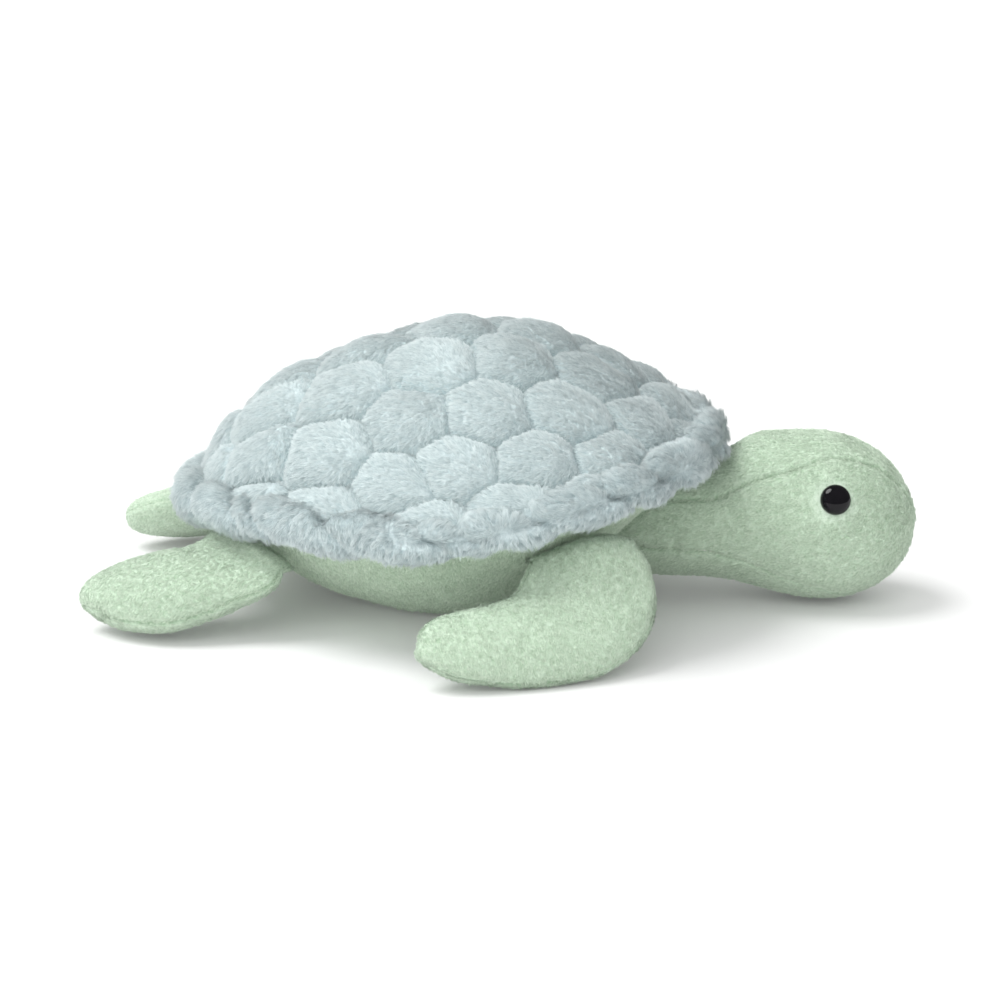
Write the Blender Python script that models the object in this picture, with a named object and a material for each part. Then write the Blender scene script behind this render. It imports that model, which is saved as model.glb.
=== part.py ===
"""Stuffed sea turtle toy: quilted plush shell over a mint body, head and four flippers.

Metres, +Z up, nose towards +X, the toy's left towards +Y. The toy lies on the flat of its belly at z = 0.
"""
import math

import bpy
import bmesh
from mathutils import Vector

# Cloth and sewing
cloth = 0.0014
gap = 0.0003
filling_clearance = 0.0010
seam_allowance = 0.0035

# Shell outline and rim roll
shell_centre_x = -0.0223
rim_half_length = 0.119
rim_half_width = 0.111
rim_taper_share = 0.20
rim_mid_height = 0.0635
rim_slope_share = 0.126
rim_lift = 0.005
rim_droop = 0.011
roll_width = 0.019
roll_height = 0.020
roll_seat_top = 0.006
roll_seat_bottom = 0.007
roll_hem_depth = 0.0016
pucker_depth = 0.0009
pucker_count = 27
rim_segments = 54
roll_points = 8

# Quilted dome
dome_rise = 0.054
dome_power_mid = 1.04
dome_power_swing = 0.32
quilt_foot = 0.002
dome_step_share = 0.01
quilt_thickness = 0.0065
puff_height = 0.0050
puff_full_radius = 0.014
seam_stitch_length = 0.020
backing_thickness = 0.001
crown_spread_share = 0.3
pillow_ring_shares = ((0.78, 0.78), (0.42, 0.96))
body_segments = 36
edge_share = 0.995
key_digits = 4
dome_ring_shares = (1.0, 0.9, 0.72, 0.45)

# Centres of the quilted panels as shares of the dome's half length and half width, near side first
scute_centre_shares = (
    (-0.89, -0.29), (-0.74, -0.66), (-0.41, -0.86), (-0.03, -0.95), (0.27, -0.86), (0.58, -0.80),
    (0.83, -0.55), (-0.64, -0.47), (-0.37, -0.58), (-0.13, -0.74), (0.06, -0.67), (0.31, -0.63),
    (0.57, -0.54), (-0.57, -0.21), (-0.31, -0.30), (-0.10, -0.47), (0.14, -0.44), (0.39, -0.38),
    (0.65, -0.27), (0.89, -0.20), (-0.03, -0.23), (0.20, -0.18), (0.46, -0.12), (-0.82, 0.04),
    (-0.50, 0.08), (-0.25, 0.00), (0.02, 0.08), (0.27, 0.09), (0.53, 0.12), (0.75, 0.02),
    (-0.68, 0.36), (-0.38, 0.34), (-0.12, 0.35), (0.14, 0.36), (0.39, 0.38), (0.65, 0.32),
    (0.87, 0.28), (-0.88, 0.33), (-0.50, 0.64), (-0.24, 0.62), (0.02, 0.65), (0.27, 0.66),
    (0.53, 0.60), (0.79, 0.57), (-0.70, 0.66), (-0.40, 0.88), (-0.12, 0.92), (0.15, 0.94),
    (0.42, 0.90), (0.62, 0.78),
)

# Belly bowl
belly_power_mid = 1.66
belly_power_swing = -0.37
belly_flat_share = 0.28
belly_inset = 0.0065
belly_ring_shares = (1.0, 0.9, 0.75, 0.55, belly_flat_share)

# Head and neck
neck_radius = 0.028
neck_centre_height = 0.0393
neck_inset = 0.033
neck_swing_degrees = 12.0
neck_opening_degrees = 32.0
head_length = 0.1286
crease_from_neck = 0.031
crease_top = 0.0628
crown_from_neck = 0.064
crown_top = 0.0785
chin_start_from_neck = 0.030
chin_from_neck = 0.084
chin_bottom = 0.0015
head_half_width = 0.036
nose_length = 0.0446
nose_height = 0.0354
nose_opening = 0.0010
head_segments = 24
ball_turn_share = 0.22
nose_turn_share = 0.62
head_step_share = 0.004
head_station_shares = (0.0, 0.10, 0.20, 0.30, 0.38, 0.46, 0.54, 0.63, 0.72, 0.81, 0.90, 0.965)
socket_segments = 36
socket_steps = 12

# Seams of the head: share of the head's length, angle from the top
crown_seam_degrees = ((0.0, 62.0), (0.30, 58.0), (0.48, 50.0), (0.70, 31.0), (1.0, 25.0))
chin_seam_degrees = ((0.0, 108.0), (0.25, 112.0), (0.48, 128.0), (0.66, 138.0), (0.82, 158.0), (1.0, 166.0))

# Eyes
eye_diameter = 0.014
eye_height = 0.0048
eye_back_thickness = 0.0012
eye_from_neck = 0.0905
eye_angle_degrees = 64.0
eye_stem_diameter = 0.0046
eye_stem_length = 0.012
washer_diameter = 0.016
washer_thickness = 0.0014
washer_clearance = 0.0016
eye_dome_steps = 5
round_segments = 16

# Flippers
root_radius = 0.0065
blade_cells_long = 8
blade_cells_wide = 6
root_turn_shares = (0.0, 0.33, 0.67)
blade_step_share = 0.02
heading_step_share = 0.1
swell_share = 0.4
tip_start_share = 0.55
edge_flat_power = 2.4
edge_round_power = 0.6
blade_fill_clearance = 0.0015
blade_fill_inset = 0.0020

front_root_degrees = 63.0
front_root_below_rim = 0.0145
front_tip_height = 0.0055
front_axis_rise_share = 0.0
front_root_offset = -0.0002
front_length = 0.1125
front_reach = 0.059
front_fall_power = 1.1
front_twist_share = 0.0
front_half_thickness = 0.0105
front_tip_bulge = 0.003
front_lead_shares = (
    (0.365, 0.0), (0.405, 0.19), (0.40, 0.44), (0.338, 0.69), (0.222, 0.87),
    (0.053, 0.975), (-0.124, 1.0), (-0.31, 0.965), (-0.465, 0.885), (-0.56, 0.765),
)
front_trail_shares = (
    (-0.080, 0.0), (-0.118, 0.13), (-0.16, 0.235), (-0.231, 0.29), (-0.311, 0.33),
    (-0.395, 0.345), (-0.47, 0.37), (-0.535, 0.42), (-0.575, 0.50), (-0.59, 0.60),
)

rear_root_degrees = 140.0
rear_root_below_rim = 0.0235
rear_tip_height = 0.0065
rear_axis_rise_share = -0.12
rear_root_offset = 0.0014
rear_length = 0.077
rear_reach = 0.0735
rear_fall_power = 0.85
rear_twist_share = 0.14
rear_half_thickness = 0.0125
rear_tip_bulge = 0.003
rear_lead_shares = (
    (0.30, 0.0), (0.335, 0.078), (0.294, 0.188), (0.206, 0.318), (0.1375, 0.468),
    (0.056, 0.636), (-0.0625, 0.79), (-0.206, 0.89), (-0.35, 0.945), (-0.455, 0.955),
)
rear_trail_shares = (
    (-0.425, 0.0), (-0.431, 0.117), (-0.45, 0.24), (-0.494, 0.344), (-0.55, 0.448),
    (-0.60, 0.552), (-0.6375, 0.656), (-0.6625, 0.76), (-0.6625, 0.864), (-0.631, 0.948),
)


def smooth_share(value):
    """Ease from 0 to 1 while value runs from 0 to 1."""
    share = min(max(value, 0.0), 1.0)
    return share * share * (3.0 - 2.0 * share)


def read_table(table, share):
    """Straight interpolation in rows of (share, value)."""
    for (low, low_value), (high, high_value) in zip(table, table[1:]):
        if share <= high:
            return low_value + (high_value - low_value) * (share - low) / (high - low)
    return table[-1][1]


def make_material(name, colour, roughness):
    material = bpy.data.materials.new(name)
    material.use_nodes = True
    shader = material.node_tree.nodes["Principled BSDF"]
    shader.inputs["Base Color"].default_value = (*colour, 1.0)
    shader.inputs["Roughness"].default_value = roughness
    shader.inputs["Metallic"].default_value = 0.0
    material.diffuse_color = (*colour, 1.0)
    return material


def make_pivot(name, place):
    pivot = bpy.data.objects.new(name, None)
    pivot.location = place
    pivot.empty_display_size = root_radius
    bpy.context.collection.objects.link(pivot)
    return pivot


def make_piece(name, points, faces, material, pivot):
    """One closed solid from world points, hung on the pivot it moves with."""
    origin = Vector(pivot.location)
    mesh = bpy.data.meshes.new(name)
    mesh.from_pydata([Vector(point) - origin for point in points], [], faces)
    work = bmesh.new()
    work.from_mesh(mesh)
    bmesh.ops.recalc_face_normals(work, faces=work.faces)
    work.to_mesh(mesh)
    work.free()
    mesh.shade_smooth()
    mesh.materials.append(material)
    piece = bpy.data.objects.new(name, mesh)
    bpy.context.collection.objects.link(piece)
    piece.parent = pivot
    return piece


def mirrored(points, side):
    """World points of the +Y side (side 1) or of the -Y side (side -1)."""
    return [Vector((point[0], side * point[1], point[2])) for point in points]


def cut(piece, cutter):
    """Take the cutter's volume out of a piece."""
    cutter.hide_render = True
    cutter.display_type = "WIRE"
    modifier = piece.modifiers.new("cut", "BOOLEAN")
    modifier.operation = "DIFFERENCE"
    modifier.solver = "EXACT"
    modifier.object = cutter


def make_turned(name, profile, place, axis, material, pivot, segments, closed_ring=False):
    """Turn (radius, height) points about an axis through place."""
    direction = Vector((0.0, 0.0, 1.0)).rotation_difference(axis).to_matrix()
    points = []
    rows = []
    for radius, height in profile:
        if radius == 0.0:
            rows.append([len(points)] * segments)
            points.append(place + direction @ Vector((0.0, 0.0, height)))
            continue
        rows.append(range(len(points), len(points) + segments))
        for step in range(segments):
            angle = 2.0 * math.pi * step / segments
            spot = Vector((radius * math.cos(angle), radius * math.sin(angle), height))
            points.append(place + direction @ spot)
    if closed_ring:
        rows.append(rows[0])
    return make_piece(name, points, faces_between(rows, True), material, pivot)


def faces_between(rows, closed):
    """Quads between rows of point numbers, with triangles where a row is one point."""
    faces = []
    for low, high in zip(rows, rows[1:]):
        count = len(low)
        for step in range(count if closed else count - 1):
            following = (step + 1) % count
            corners = (low[step], low[following], high[following], high[step])
            face = list(dict.fromkeys(corners))
            if len(face) > 2:
                faces.append(face)
    return faces


def grid_border(rows):
    """Point numbers once round the edge of a grid."""
    border = [row[0] for row in rows] + rows[-1][1:]
    return border + [row[-1] for row in reversed(rows[:-1])] + rows[0][-2:0:-1]


def rim_spot(angle, outward):
    """Plan position on the rim's centre line, moved outward along its normal."""
    cosine = math.cos(angle)
    sine = math.sin(angle)
    spread = 1.0 + rim_taper_share * cosine
    spot = Vector((shell_centre_x + rim_half_length * cosine, rim_half_width * sine * spread))
    along_x = -rim_half_length * sine
    along_y = rim_half_width * (cosine * spread - rim_taper_share * sine * sine)
    normal = Vector((along_y, -along_x)).normalized()
    return spot + outward * normal


def rim_normal(angle):
    return (rim_spot(angle, 1.0) - rim_spot(angle, 0.0)).normalized()


def rim_level(angle, share=1.0):
    """Height of the rim's centre line at an angle, levelling out towards the shell's middle."""
    ahead = share * rim_half_length * math.cos(angle)
    side = math.sin(angle) ** 2
    sway = (rim_lift * side - rim_droop * side ** 3) * share ** 2
    return rim_mid_height + rim_slope_share * ahead + sway


def toward_centre(spot, share):
    centre = Vector((shell_centre_x, 0.0))
    return centre + share * (spot - centre)


def dome_spot(across, along, depth):
    """Point of the dome at unit-disc coordinates, depth below the quilt's outer surface."""
    share = min(math.hypot(across, along), 1.0)
    angle = math.atan2(along, across)
    spot = toward_centre(rim_spot(angle, quilt_foot - depth), share)
    power = dome_power_mid + dome_power_swing * math.cos(angle)
    rise = (dome_rise - depth) * (1.0 - share * share) ** power
    level = rim_level(angle, share) + roll_seat_top + gap
    return Vector((spot[0], spot[1], level + rise))


def dome_normal(across, along):
    step = dome_step_share
    keep = min(1.0, (1.0 - 2.0 * step) / max(math.hypot(across, along), step))
    across = across * keep
    along = along * keep
    low_x = dome_spot(across - step, along, 0.0)
    high_x = dome_spot(across + step, along, 0.0)
    low_y = dome_spot(across, along - step, 0.0)
    high_y = dome_spot(across, along + step, 0.0)
    return (high_x - low_x).cross(high_y - low_y).normalized()


def crown_spot(flat, depth):
    """Dome point at flattened disc coordinates, in which the panels are of one size."""
    share = min(flat.length, 1.0)
    spread = 1.0 + crown_spread_share * (1.0 - share * share)
    return dome_spot(flat[0] * spread, flat[1] * spread, depth)


def crown_normal(flat):
    share = min(flat.length, 1.0)
    spread = 1.0 + crown_spread_share * (1.0 - share * share)
    return dome_normal(flat[0] * spread, flat[1] * spread)


def dome_outline():
    """Edge of the dome as a polygon of the unit disc."""
    outline = []
    for step in range(body_segments):
        angle = 2.0 * math.pi * step / body_segments
        outline.append(Vector((math.cos(angle), math.sin(angle))))
    return outline


def clip(polygon, middle, outward):
    """Part of a polygon on the inner side of a line through middle."""
    kept = []
    for start, end in zip(polygon, polygon[1:] + polygon[:1]):
        start_out = (start - middle).dot(outward)
        end_out = (end - middle).dot(outward)
        if start_out <= 0.0:
            kept.append(start)
        if start_out * end_out < 0.0:
            kept.append(start.lerp(end, start_out / (start_out - end_out)))
    return kept


def scute_polygons():
    """Quilted panels: each holds what lies nearer to its centre than to any other."""
    centres = [Vector(shares) for shares in scute_centre_shares]
    polygons = []
    for centre in centres:
        polygon = dome_outline()
        for other in centres:
            if other is not centre:
                polygon = clip(polygon, (centre + other) * 0.5, other - centre)
        polygons.append(polygon)
    return polygons


def spot_key(spot):
    """Name of a place, the same for the two panels that share it."""
    return round(spot[0], key_digits), round(spot[1], key_digits)


def stitched(polygon):
    """Polygon with its long sides divided into stitches."""
    spots = []
    for start, end in zip(polygon, polygon[1:] + polygon[:1]):
        length = (end - start).length * rim_half_width
        count = max(1, round(length / seam_stitch_length))
        low, high = sorted((start, end), key=spot_key)
        inner = [low.lerp(high, step / count) for step in range(1, count)]
        spots += [start] + (inner if low is start else inner[::-1])
    return spots


def polar_rows(ring_shares, point_at, points):
    """Rings of body_segments points from the edge inwards, ending at the middle."""
    rows = []
    for share in ring_shares:
        rows.append(list(range(len(points), len(points) + body_segments)))
        for step in range(body_segments):
            points.append(point_at(2.0 * math.pi * step / body_segments, share))
    rows.append([len(points)] * body_segments)
    points.append(point_at(0.0, 0.0))
    return rows


def dome_ring_point(depth):
    def point_at(angle, share):
        return dome_spot(share * math.cos(angle), share * math.sin(angle), depth)
    return point_at


def make_quilt(material, pivot):
    """Outer plush with its wadding, puffed between quilting seams, and smooth inside."""
    points = []
    faces = []
    seam_numbers = {}
    edge = []
    for polygon in scute_polygons():
        seam = stitched(polygon)
        middle = sum(seam, Vector((0.0, 0.0))) / len(seam)
        radius = min((spot - middle).length for spot in seam) * rim_half_width
        puff = puff_height * min(radius / puff_full_radius, 1.0)
        row = []
        for spot in seam:
            key = spot_key(spot)
            if key not in seam_numbers:
                seam_numbers[key] = len(points)
                points.append(crown_spot(spot, 0.0))
                if spot.length > edge_share:
                    edge.append((math.atan2(spot[1], spot[0]) % (2.0 * math.pi), seam_numbers[key]))
            row.append(seam_numbers[key])
        rows = [row]
        for reach_share, puff_share in pillow_ring_shares:
            rows.append(list(range(len(points), len(points) + len(seam))))
            for spot in seam:
                inner = middle.lerp(spot, reach_share)
                points.append(crown_spot(inner, 0.0) + puff_share * puff * crown_normal(inner))
        rows.append([len(points)] * len(seam))
        points.append(crown_spot(middle, 0.0) + puff * crown_normal(middle))
        faces += faces_between(rows, True)
    rows = polar_rows(dome_ring_shares, dome_ring_point(quilt_thickness), points)
    faces += faces_between(rows, True)
    faces += edge_faces(sorted(edge), rows[0])
    return make_piece("carapace_quilt", points, faces, material, pivot)


def edge_faces(edge, ring):
    """Triangles between the quilt's stitched edge, rows of (angle, point), and the even ring under it."""
    faces = []
    half_step = math.pi / len(ring)
    here = 0
    for number, (angle, point) in enumerate(edge):
        following = edge[(number + 1) % len(edge)][1]
        while here < len(ring) and (2 * here + 1) * half_step <= angle:
            faces.append([point, ring[here], ring[(here + 1) % len(ring)]])
            here += 1
        faces.append([point, following, ring[here % len(ring)]])
    while here < len(ring):
        faces.append([edge[0][1], ring[here], ring[(here + 1) % len(ring)]])
        here += 1
    return faces


def make_backing(material, pivot):
    """Thin lining that the quilting is stitched through to."""
    points = []
    outer = polar_rows(dome_ring_shares, dome_ring_point(quilt_thickness + gap), points)
    depth = quilt_thickness + gap + backing_thickness
    inner = polar_rows(dome_ring_shares, dome_ring_point(depth), points)
    faces = faces_between(outer, True) + faces_between(inner, True)
    faces += faces_between([outer[0], inner[0]], True)
    return make_piece("carapace_backing", points, faces, material, pivot)


def make_rim(material, pivot):
    """Stuffed plush roll round the shell, with flat seats where the quilt and belly are sewn on."""
    points = []
    rows = []
    for step in range(rim_segments):
        angle = 2.0 * math.pi * step / rim_segments
        level = rim_level(angle)
        pucker = pucker_depth * math.cos(pucker_count * angle)
        rows.append(list(range(len(points), len(points) + roll_points)))
        for corner in range(roll_points):
            turn = 2.0 * math.pi * corner / roll_points
            outward = roll_width / 2.0 * math.cos(turn)
            height = roll_height / 2.0 * math.sin(turn)
            if outward > 0.0:
                outward += pucker * math.cos(turn)
                outward -= roll_hem_depth * max(0.0, math.cos(2.0 * turn))
            height = min(max(height, -roll_seat_bottom), roll_seat_top)
            plan = rim_spot(angle, outward)
            points.append(Vector((plan[0], plan[1], level + height)))
    rows.append(rows[0])
    return make_piece("carapace_rim", points, faces_between(rows, True), material, pivot)


def belly_power(angle):
    """Fullness of the belly bowl: fuller towards the rear than towards the front."""
    return belly_power_mid + belly_power_swing * math.cos(angle)


def belly_spot(angle, share, depth):
    """Point of the belly bowl, depth inside its outer surface; the bottom is cut flat."""
    spot = toward_centre(rim_spot(angle, -belly_inset - depth), share)
    seam = rim_level(angle) - roll_seat_bottom - gap
    climb_share = (max(share - belly_flat_share, 0.0) / (1.0 - belly_flat_share)) ** belly_power(angle)
    return Vector((spot[0], spot[1], seam * climb_share + depth * (1.0 - climb_share)))


def belly_ring_point(depth):
    def point_at(angle, share):
        return belly_spot(angle, share, depth)
    return point_at


def make_belly(material, pivot):
    points = []
    outer = polar_rows(belly_ring_shares, belly_ring_point(0.0), points)
    inner = polar_rows(belly_ring_shares, belly_ring_point(cloth), points)
    faces = faces_between(outer, True) + faces_between(inner, True)
    faces += faces_between([outer[0], inner[0]], True)
    return make_piece("belly_cover", points, faces, material, pivot)


def make_body_stuffing(material, pivot):
    """Fibre filling between the belly cover, the rim roll and the shell's lining."""
    points = []
    bowl = polar_rows(belly_ring_shares, belly_ring_point(cloth + filling_clearance), points)
    depth = quilt_thickness + gap + backing_thickness + gap
    dome = polar_rows(dome_ring_shares, dome_ring_point(depth), points)
    waist = []
    for height in (-roll_seat_bottom, roll_seat_top):
        waist.append(list(range(len(points), len(points) + body_segments)))
        for step in range(body_segments):
            angle = 2.0 * math.pi * step / body_segments
            spot = rim_spot(angle, -roll_width / 2.0 - gap)
            points.append(Vector((spot[0], spot[1], rim_level(angle) + height)))
    faces = faces_between(bowl, True) + faces_between(dome, True)
    faces += faces_between([bowl[0], waist[0], waist[1], dome[0]], True)
    return make_piece("body_stuffing", points, faces, material, pivot)


def neck_centre():
    front = shell_centre_x + rim_half_length
    return Vector((front - neck_inset, 0.0, neck_centre_height))


def head_section(travel):
    """Centre, half height and half width of the head, travel metres ahead of the neck's centre."""
    neck_top = neck_centre_height + neck_radius
    neck_bottom = neck_centre_height - neck_radius
    if travel <= 0.0:
        radius = math.sqrt(max(neck_radius ** 2 - travel ** 2, 0.0))
        return neck_centre_height, radius, radius
    dip = smooth_share(travel / crease_from_neck)
    rise = smooth_share((travel - crease_from_neck) / (crown_from_neck - crease_from_neck))
    top = neck_top + (crease_top - neck_top) * dip + (crown_top - crease_top) * rise
    drop = smooth_share((travel - chin_start_from_neck) / (chin_from_neck - chin_start_from_neck))
    bottom = neck_bottom + (chin_bottom - neck_bottom) * drop
    half_width = neck_radius + (head_half_width - neck_radius) * drop
    ahead = max(travel - (head_length - nose_length), 0.0) / nose_length
    round_share = math.sqrt(max(1.0 - ahead * ahead, 0.0))
    middle = (top + bottom) / 2.0
    middle += (nose_height - middle) * ahead ** 2
    return middle, (top - bottom) / 2.0 * round_share, half_width * round_share


def head_travel(turn):
    """Distance ahead of the neck's centre for a turn from 0 at the back of the ball to 1 at the nose."""
    if turn < ball_turn_share:
        return -neck_radius * math.cos(math.pi / 2.0 * turn / ball_turn_share)
    widest = head_length - nose_length
    if turn < nose_turn_share:
        return widest * (turn - ball_turn_share) / (nose_turn_share - ball_turn_share)
    nose_share = (turn - nose_turn_share) / (1.0 - nose_turn_share)
    return widest + nose_length * math.sin(math.pi / 2.0 * nose_share)


def head_spot(turn, angle, side):
    """Point on the head's outside; angle runs from the top (0) to the underside (pi)."""
    travel = head_travel(turn)
    middle, half_height, half_width = head_section(travel)
    centre = neck_centre()
    return Vector((centre[0] + travel, side * half_width * math.sin(angle),
                   middle + half_height * math.cos(angle)))


def head_normal(turn, angle, side):
    step = head_step_share
    turn = min(max(turn, 2.0 * step), 1.0 - 2.0 * step)
    along = head_spot(turn + step, angle, side) - head_spot(turn - step, angle, side)
    round_way = head_spot(turn, angle + step, side) - head_spot(turn, angle - step, side)
    return side * along.cross(round_way).normalized()


def head_inside(turn, angle, side, depth):
    return head_spot(turn, angle, side) - depth * head_normal(turn, angle, side)


def neck_opening_turn():
    """Turn at which the skin starts, round the open back of the neck's ball."""
    return ball_turn_share * math.radians(neck_opening_degrees) / (math.pi / 2.0)


def head_turns():
    """Stations of the head's skin from the neck opening to the nose."""
    first = neck_opening_turn()
    return [first + (1.0 - first) * share for share in head_station_shares]


def head_panel(name, low_at, high_at, cells, side, material, pivot):
    """One sewn panel between two seams, whose angles are read at each station."""
    outer_rows = []
    inner_rows = []
    points = []
    for turn in head_turns():
        half_height = head_section(head_travel(turn))[1]
        margin = gap / 2.0 / max(half_height, nose_opening)
        low = low_at(turn) + margin
        high = high_at(turn) - margin
        outer_row = []
        inner_row = []
        for cell in range(cells + 1):
            angle = low + (high - low) * cell / cells
            outer_row.append(len(points))
            points.append(head_spot(turn, angle, side))
            inner_row.append(len(points))
            points.append(head_inside(turn, angle, side, cloth))
        outer_rows.append(outer_row)
        inner_rows.append(inner_row)
    faces = faces_between(outer_rows, False) + faces_between(inner_rows, False)
    faces += faces_between([grid_border(outer_rows), grid_border(inner_rows)], True)
    return make_piece(name, points, faces, material, pivot)


def crown_angle(turn):
    share = max(head_travel(turn), 0.0) / head_length
    return math.radians(read_table(crown_seam_degrees, share))


def chin_angle(turn):
    share = max(head_travel(turn), 0.0) / head_length
    return math.radians(read_table(chin_seam_degrees, share))


def make_head_panels(material, pivot):
    crown_cells = head_segments // 4
    side_cells = head_segments // 3
    head_panel("head_crown_gusset", lambda turn: -crown_angle(turn), crown_angle,
               crown_cells, 1.0, material, pivot)
    sides = []
    for word, side in (("left", 1.0), ("right", -1.0)):
        sides.append(head_panel(f"head_side_{word}", crown_angle, chin_angle,
                                side_cells, side, material, pivot))
    head_panel("head_chin_gusset", chin_angle, lambda turn: 2.0 * math.pi - chin_angle(turn),
               crown_cells, 1.0, material, pivot)
    return sides


def make_head_stuffing(material, pivot):
    depth = cloth + filling_clearance
    points = []
    rows = [[0] * head_segments]
    centre = neck_centre()
    points.append(centre - Vector((neck_radius - depth, 0.0, 0.0)))
    for turn in [neck_opening_turn() / 2.0] + head_turns():
        rows.append(list(range(len(points), len(points) + head_segments)))
        for step in range(head_segments):
            angle = 2.0 * math.pi * step / head_segments
            points.append(head_inside(turn, angle, 1.0, depth))
    rows.append([len(points)] * head_segments)
    points.append(Vector((centre[0] + head_length - depth, 0.0, nose_height)))
    return make_piece("head_stuffing", points, faces_between(rows, True), material, pivot)


def eye_place(side):
    """Point on the head's outside under the eye, and the outward direction there."""
    nose_share = (eye_from_neck - head_length + nose_length) / nose_length
    turn = nose_turn_share + (1.0 - nose_turn_share) * math.asin(nose_share) / (math.pi / 2.0)
    angle = math.radians(eye_angle_degrees)
    return head_spot(turn, angle, side), head_normal(turn, angle, side)


def make_eyes(plastic, washer_plastic, side_panels, stuffing, pivot):
    """Domed eyes with a stem through the side panel, held by a washer inside."""
    radius = eye_diameter / 2.0
    stem = eye_stem_diameter / 2.0
    dome = []
    for step in range(eye_dome_steps):
        turn = math.pi / 2.0 * step / eye_dome_steps
        dome.append((radius * math.cos(turn), eye_back_thickness + eye_height * math.sin(turn)))
    for (word, side), panel in zip((("left", 1.0), ("right", -1.0)), side_panels):
        place, axis = eye_place(side)
        seat = place + gap * axis
        top = (0.0, eye_back_thickness + eye_height)
        profile = [(0.0, -eye_stem_length), (stem, -eye_stem_length), (stem, 0.0), (radius, 0.0)]
        make_turned(f"eye_{word}", profile + dome + [top], seat, axis, plastic, pivot, round_segments)
        hole = stem + gap
        head_radius = head_half_width - cloth
        sag = head_radius - math.sqrt(head_radius ** 2 - (washer_diameter / 2.0) ** 2)
        washer_top = -cloth - sag - washer_clearance
        washer_bottom = washer_top - washer_thickness
        ring = [(hole, washer_bottom), (washer_diameter / 2.0, washer_bottom),
                (washer_diameter / 2.0, washer_top), (hole, washer_top)]
        make_turned(f"eye_washer_{word}", ring, place, axis, washer_plastic, pivot,
                    round_segments, True)
        drill = make_turned(f"eye_hole_{word}", [(0.0, -eye_stem_length), (hole, -eye_stem_length),
                                                 (hole, eye_stem_length), (0.0, eye_stem_length)],
                            place, axis, plastic, pivot, round_segments)
        cut(panel, drill)
        pocket_radius = washer_diameter / 2.0 + gap
        pocket_bottom = washer_bottom - gap
        stem_end = -eye_stem_length - gap
        pocket = make_turned(f"eye_pocket_{word}", [
            (0.0, stem_end), (hole, stem_end), (hole, pocket_bottom), (pocket_radius, pocket_bottom),
            (pocket_radius, eye_stem_length), (0.0, eye_stem_length)],
            place, axis, plastic, pivot, round_segments)
        cut(stuffing, pocket)


def make_neck_socket(pieces, pivot, material):
    """Hollow in the body that the round back of the neck is sewn into and rocks in."""
    radius = (neck_radius + gap) / math.cos(math.pi / socket_segments) ** 2
    profile = []
    for step in range(socket_steps + 1):
        turn = math.pi / 2.0 * step / socket_steps
        profile.append((radius * math.sin(turn), -radius * math.cos(turn)))
    ahead = neck_inset + roll_width
    flare = radius + ahead * math.tan(math.radians(neck_swing_degrees))
    profile += [(flare, ahead), (0.0, ahead)]
    profile[0] = (0.0, -radius)
    socket = make_turned("neck_socket", profile, neck_centre(), Vector((1.0, 0.0, 0.0)),
                         material, pivot, socket_segments)
    for piece in pieces:
        cut(piece, socket)


def curve_through(table, share):
    """Smooth curve through evenly spaced (x, y) points, read at a share of its way."""
    last = len(table) - 1
    place = min(max(share, 0.0), 1.0) * last
    index = min(int(place), last - 1)
    part = place - index
    before = Vector(table[max(index - 1, 0)])
    start = Vector(table[index])
    end = Vector(table[index + 1])
    after = Vector(table[min(index + 2, last)])
    pull_in = (end - before) * 0.5
    pull_out = (after - start) * 0.5
    cube = part ** 3
    square = part ** 2
    return ((2.0 * cube - 3.0 * square + 1.0) * start + (cube - 2.0 * square + part) * pull_in
            + (3.0 * square - 2.0 * cube) * end + (cube - square) * pull_out)


def root_frame(angle_degrees, height, rise_share, root_offset):
    """Hinge point of a flipper's root beside the belly, and its directions along and outward."""
    angle = math.radians(angle_degrees)
    seam = rim_level(angle) - roll_seat_bottom - gap
    power = belly_power(angle)
    bowl_share = (height / seam) ** (1.0 / power)
    share = belly_flat_share + (1.0 - belly_flat_share) * bowl_share
    surface = toward_centre(rim_spot(angle, -belly_inset), share)
    outward = rim_normal(angle)
    run = (rim_spot(angle, -belly_inset) - Vector((shell_centre_x, 0.0))).dot(outward)
    climb = power * seam * bowl_share ** (power - 1.0) / (1.0 - belly_flat_share)
    slope_normal = Vector((climb, -run)).normalized()
    stand_off = root_radius + gap + root_offset
    hinge = Vector((surface[0] + outward[0] * slope_normal[0] * stand_off,
                    surface[1] + outward[1] * slope_normal[0] * stand_off,
                    height + slope_normal[1] * stand_off))
    forward = Vector((outward[1], -outward[0], rise_share)).normalized()
    return hinge, forward, Vector((outward[0], outward[1], 0.0))


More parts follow.
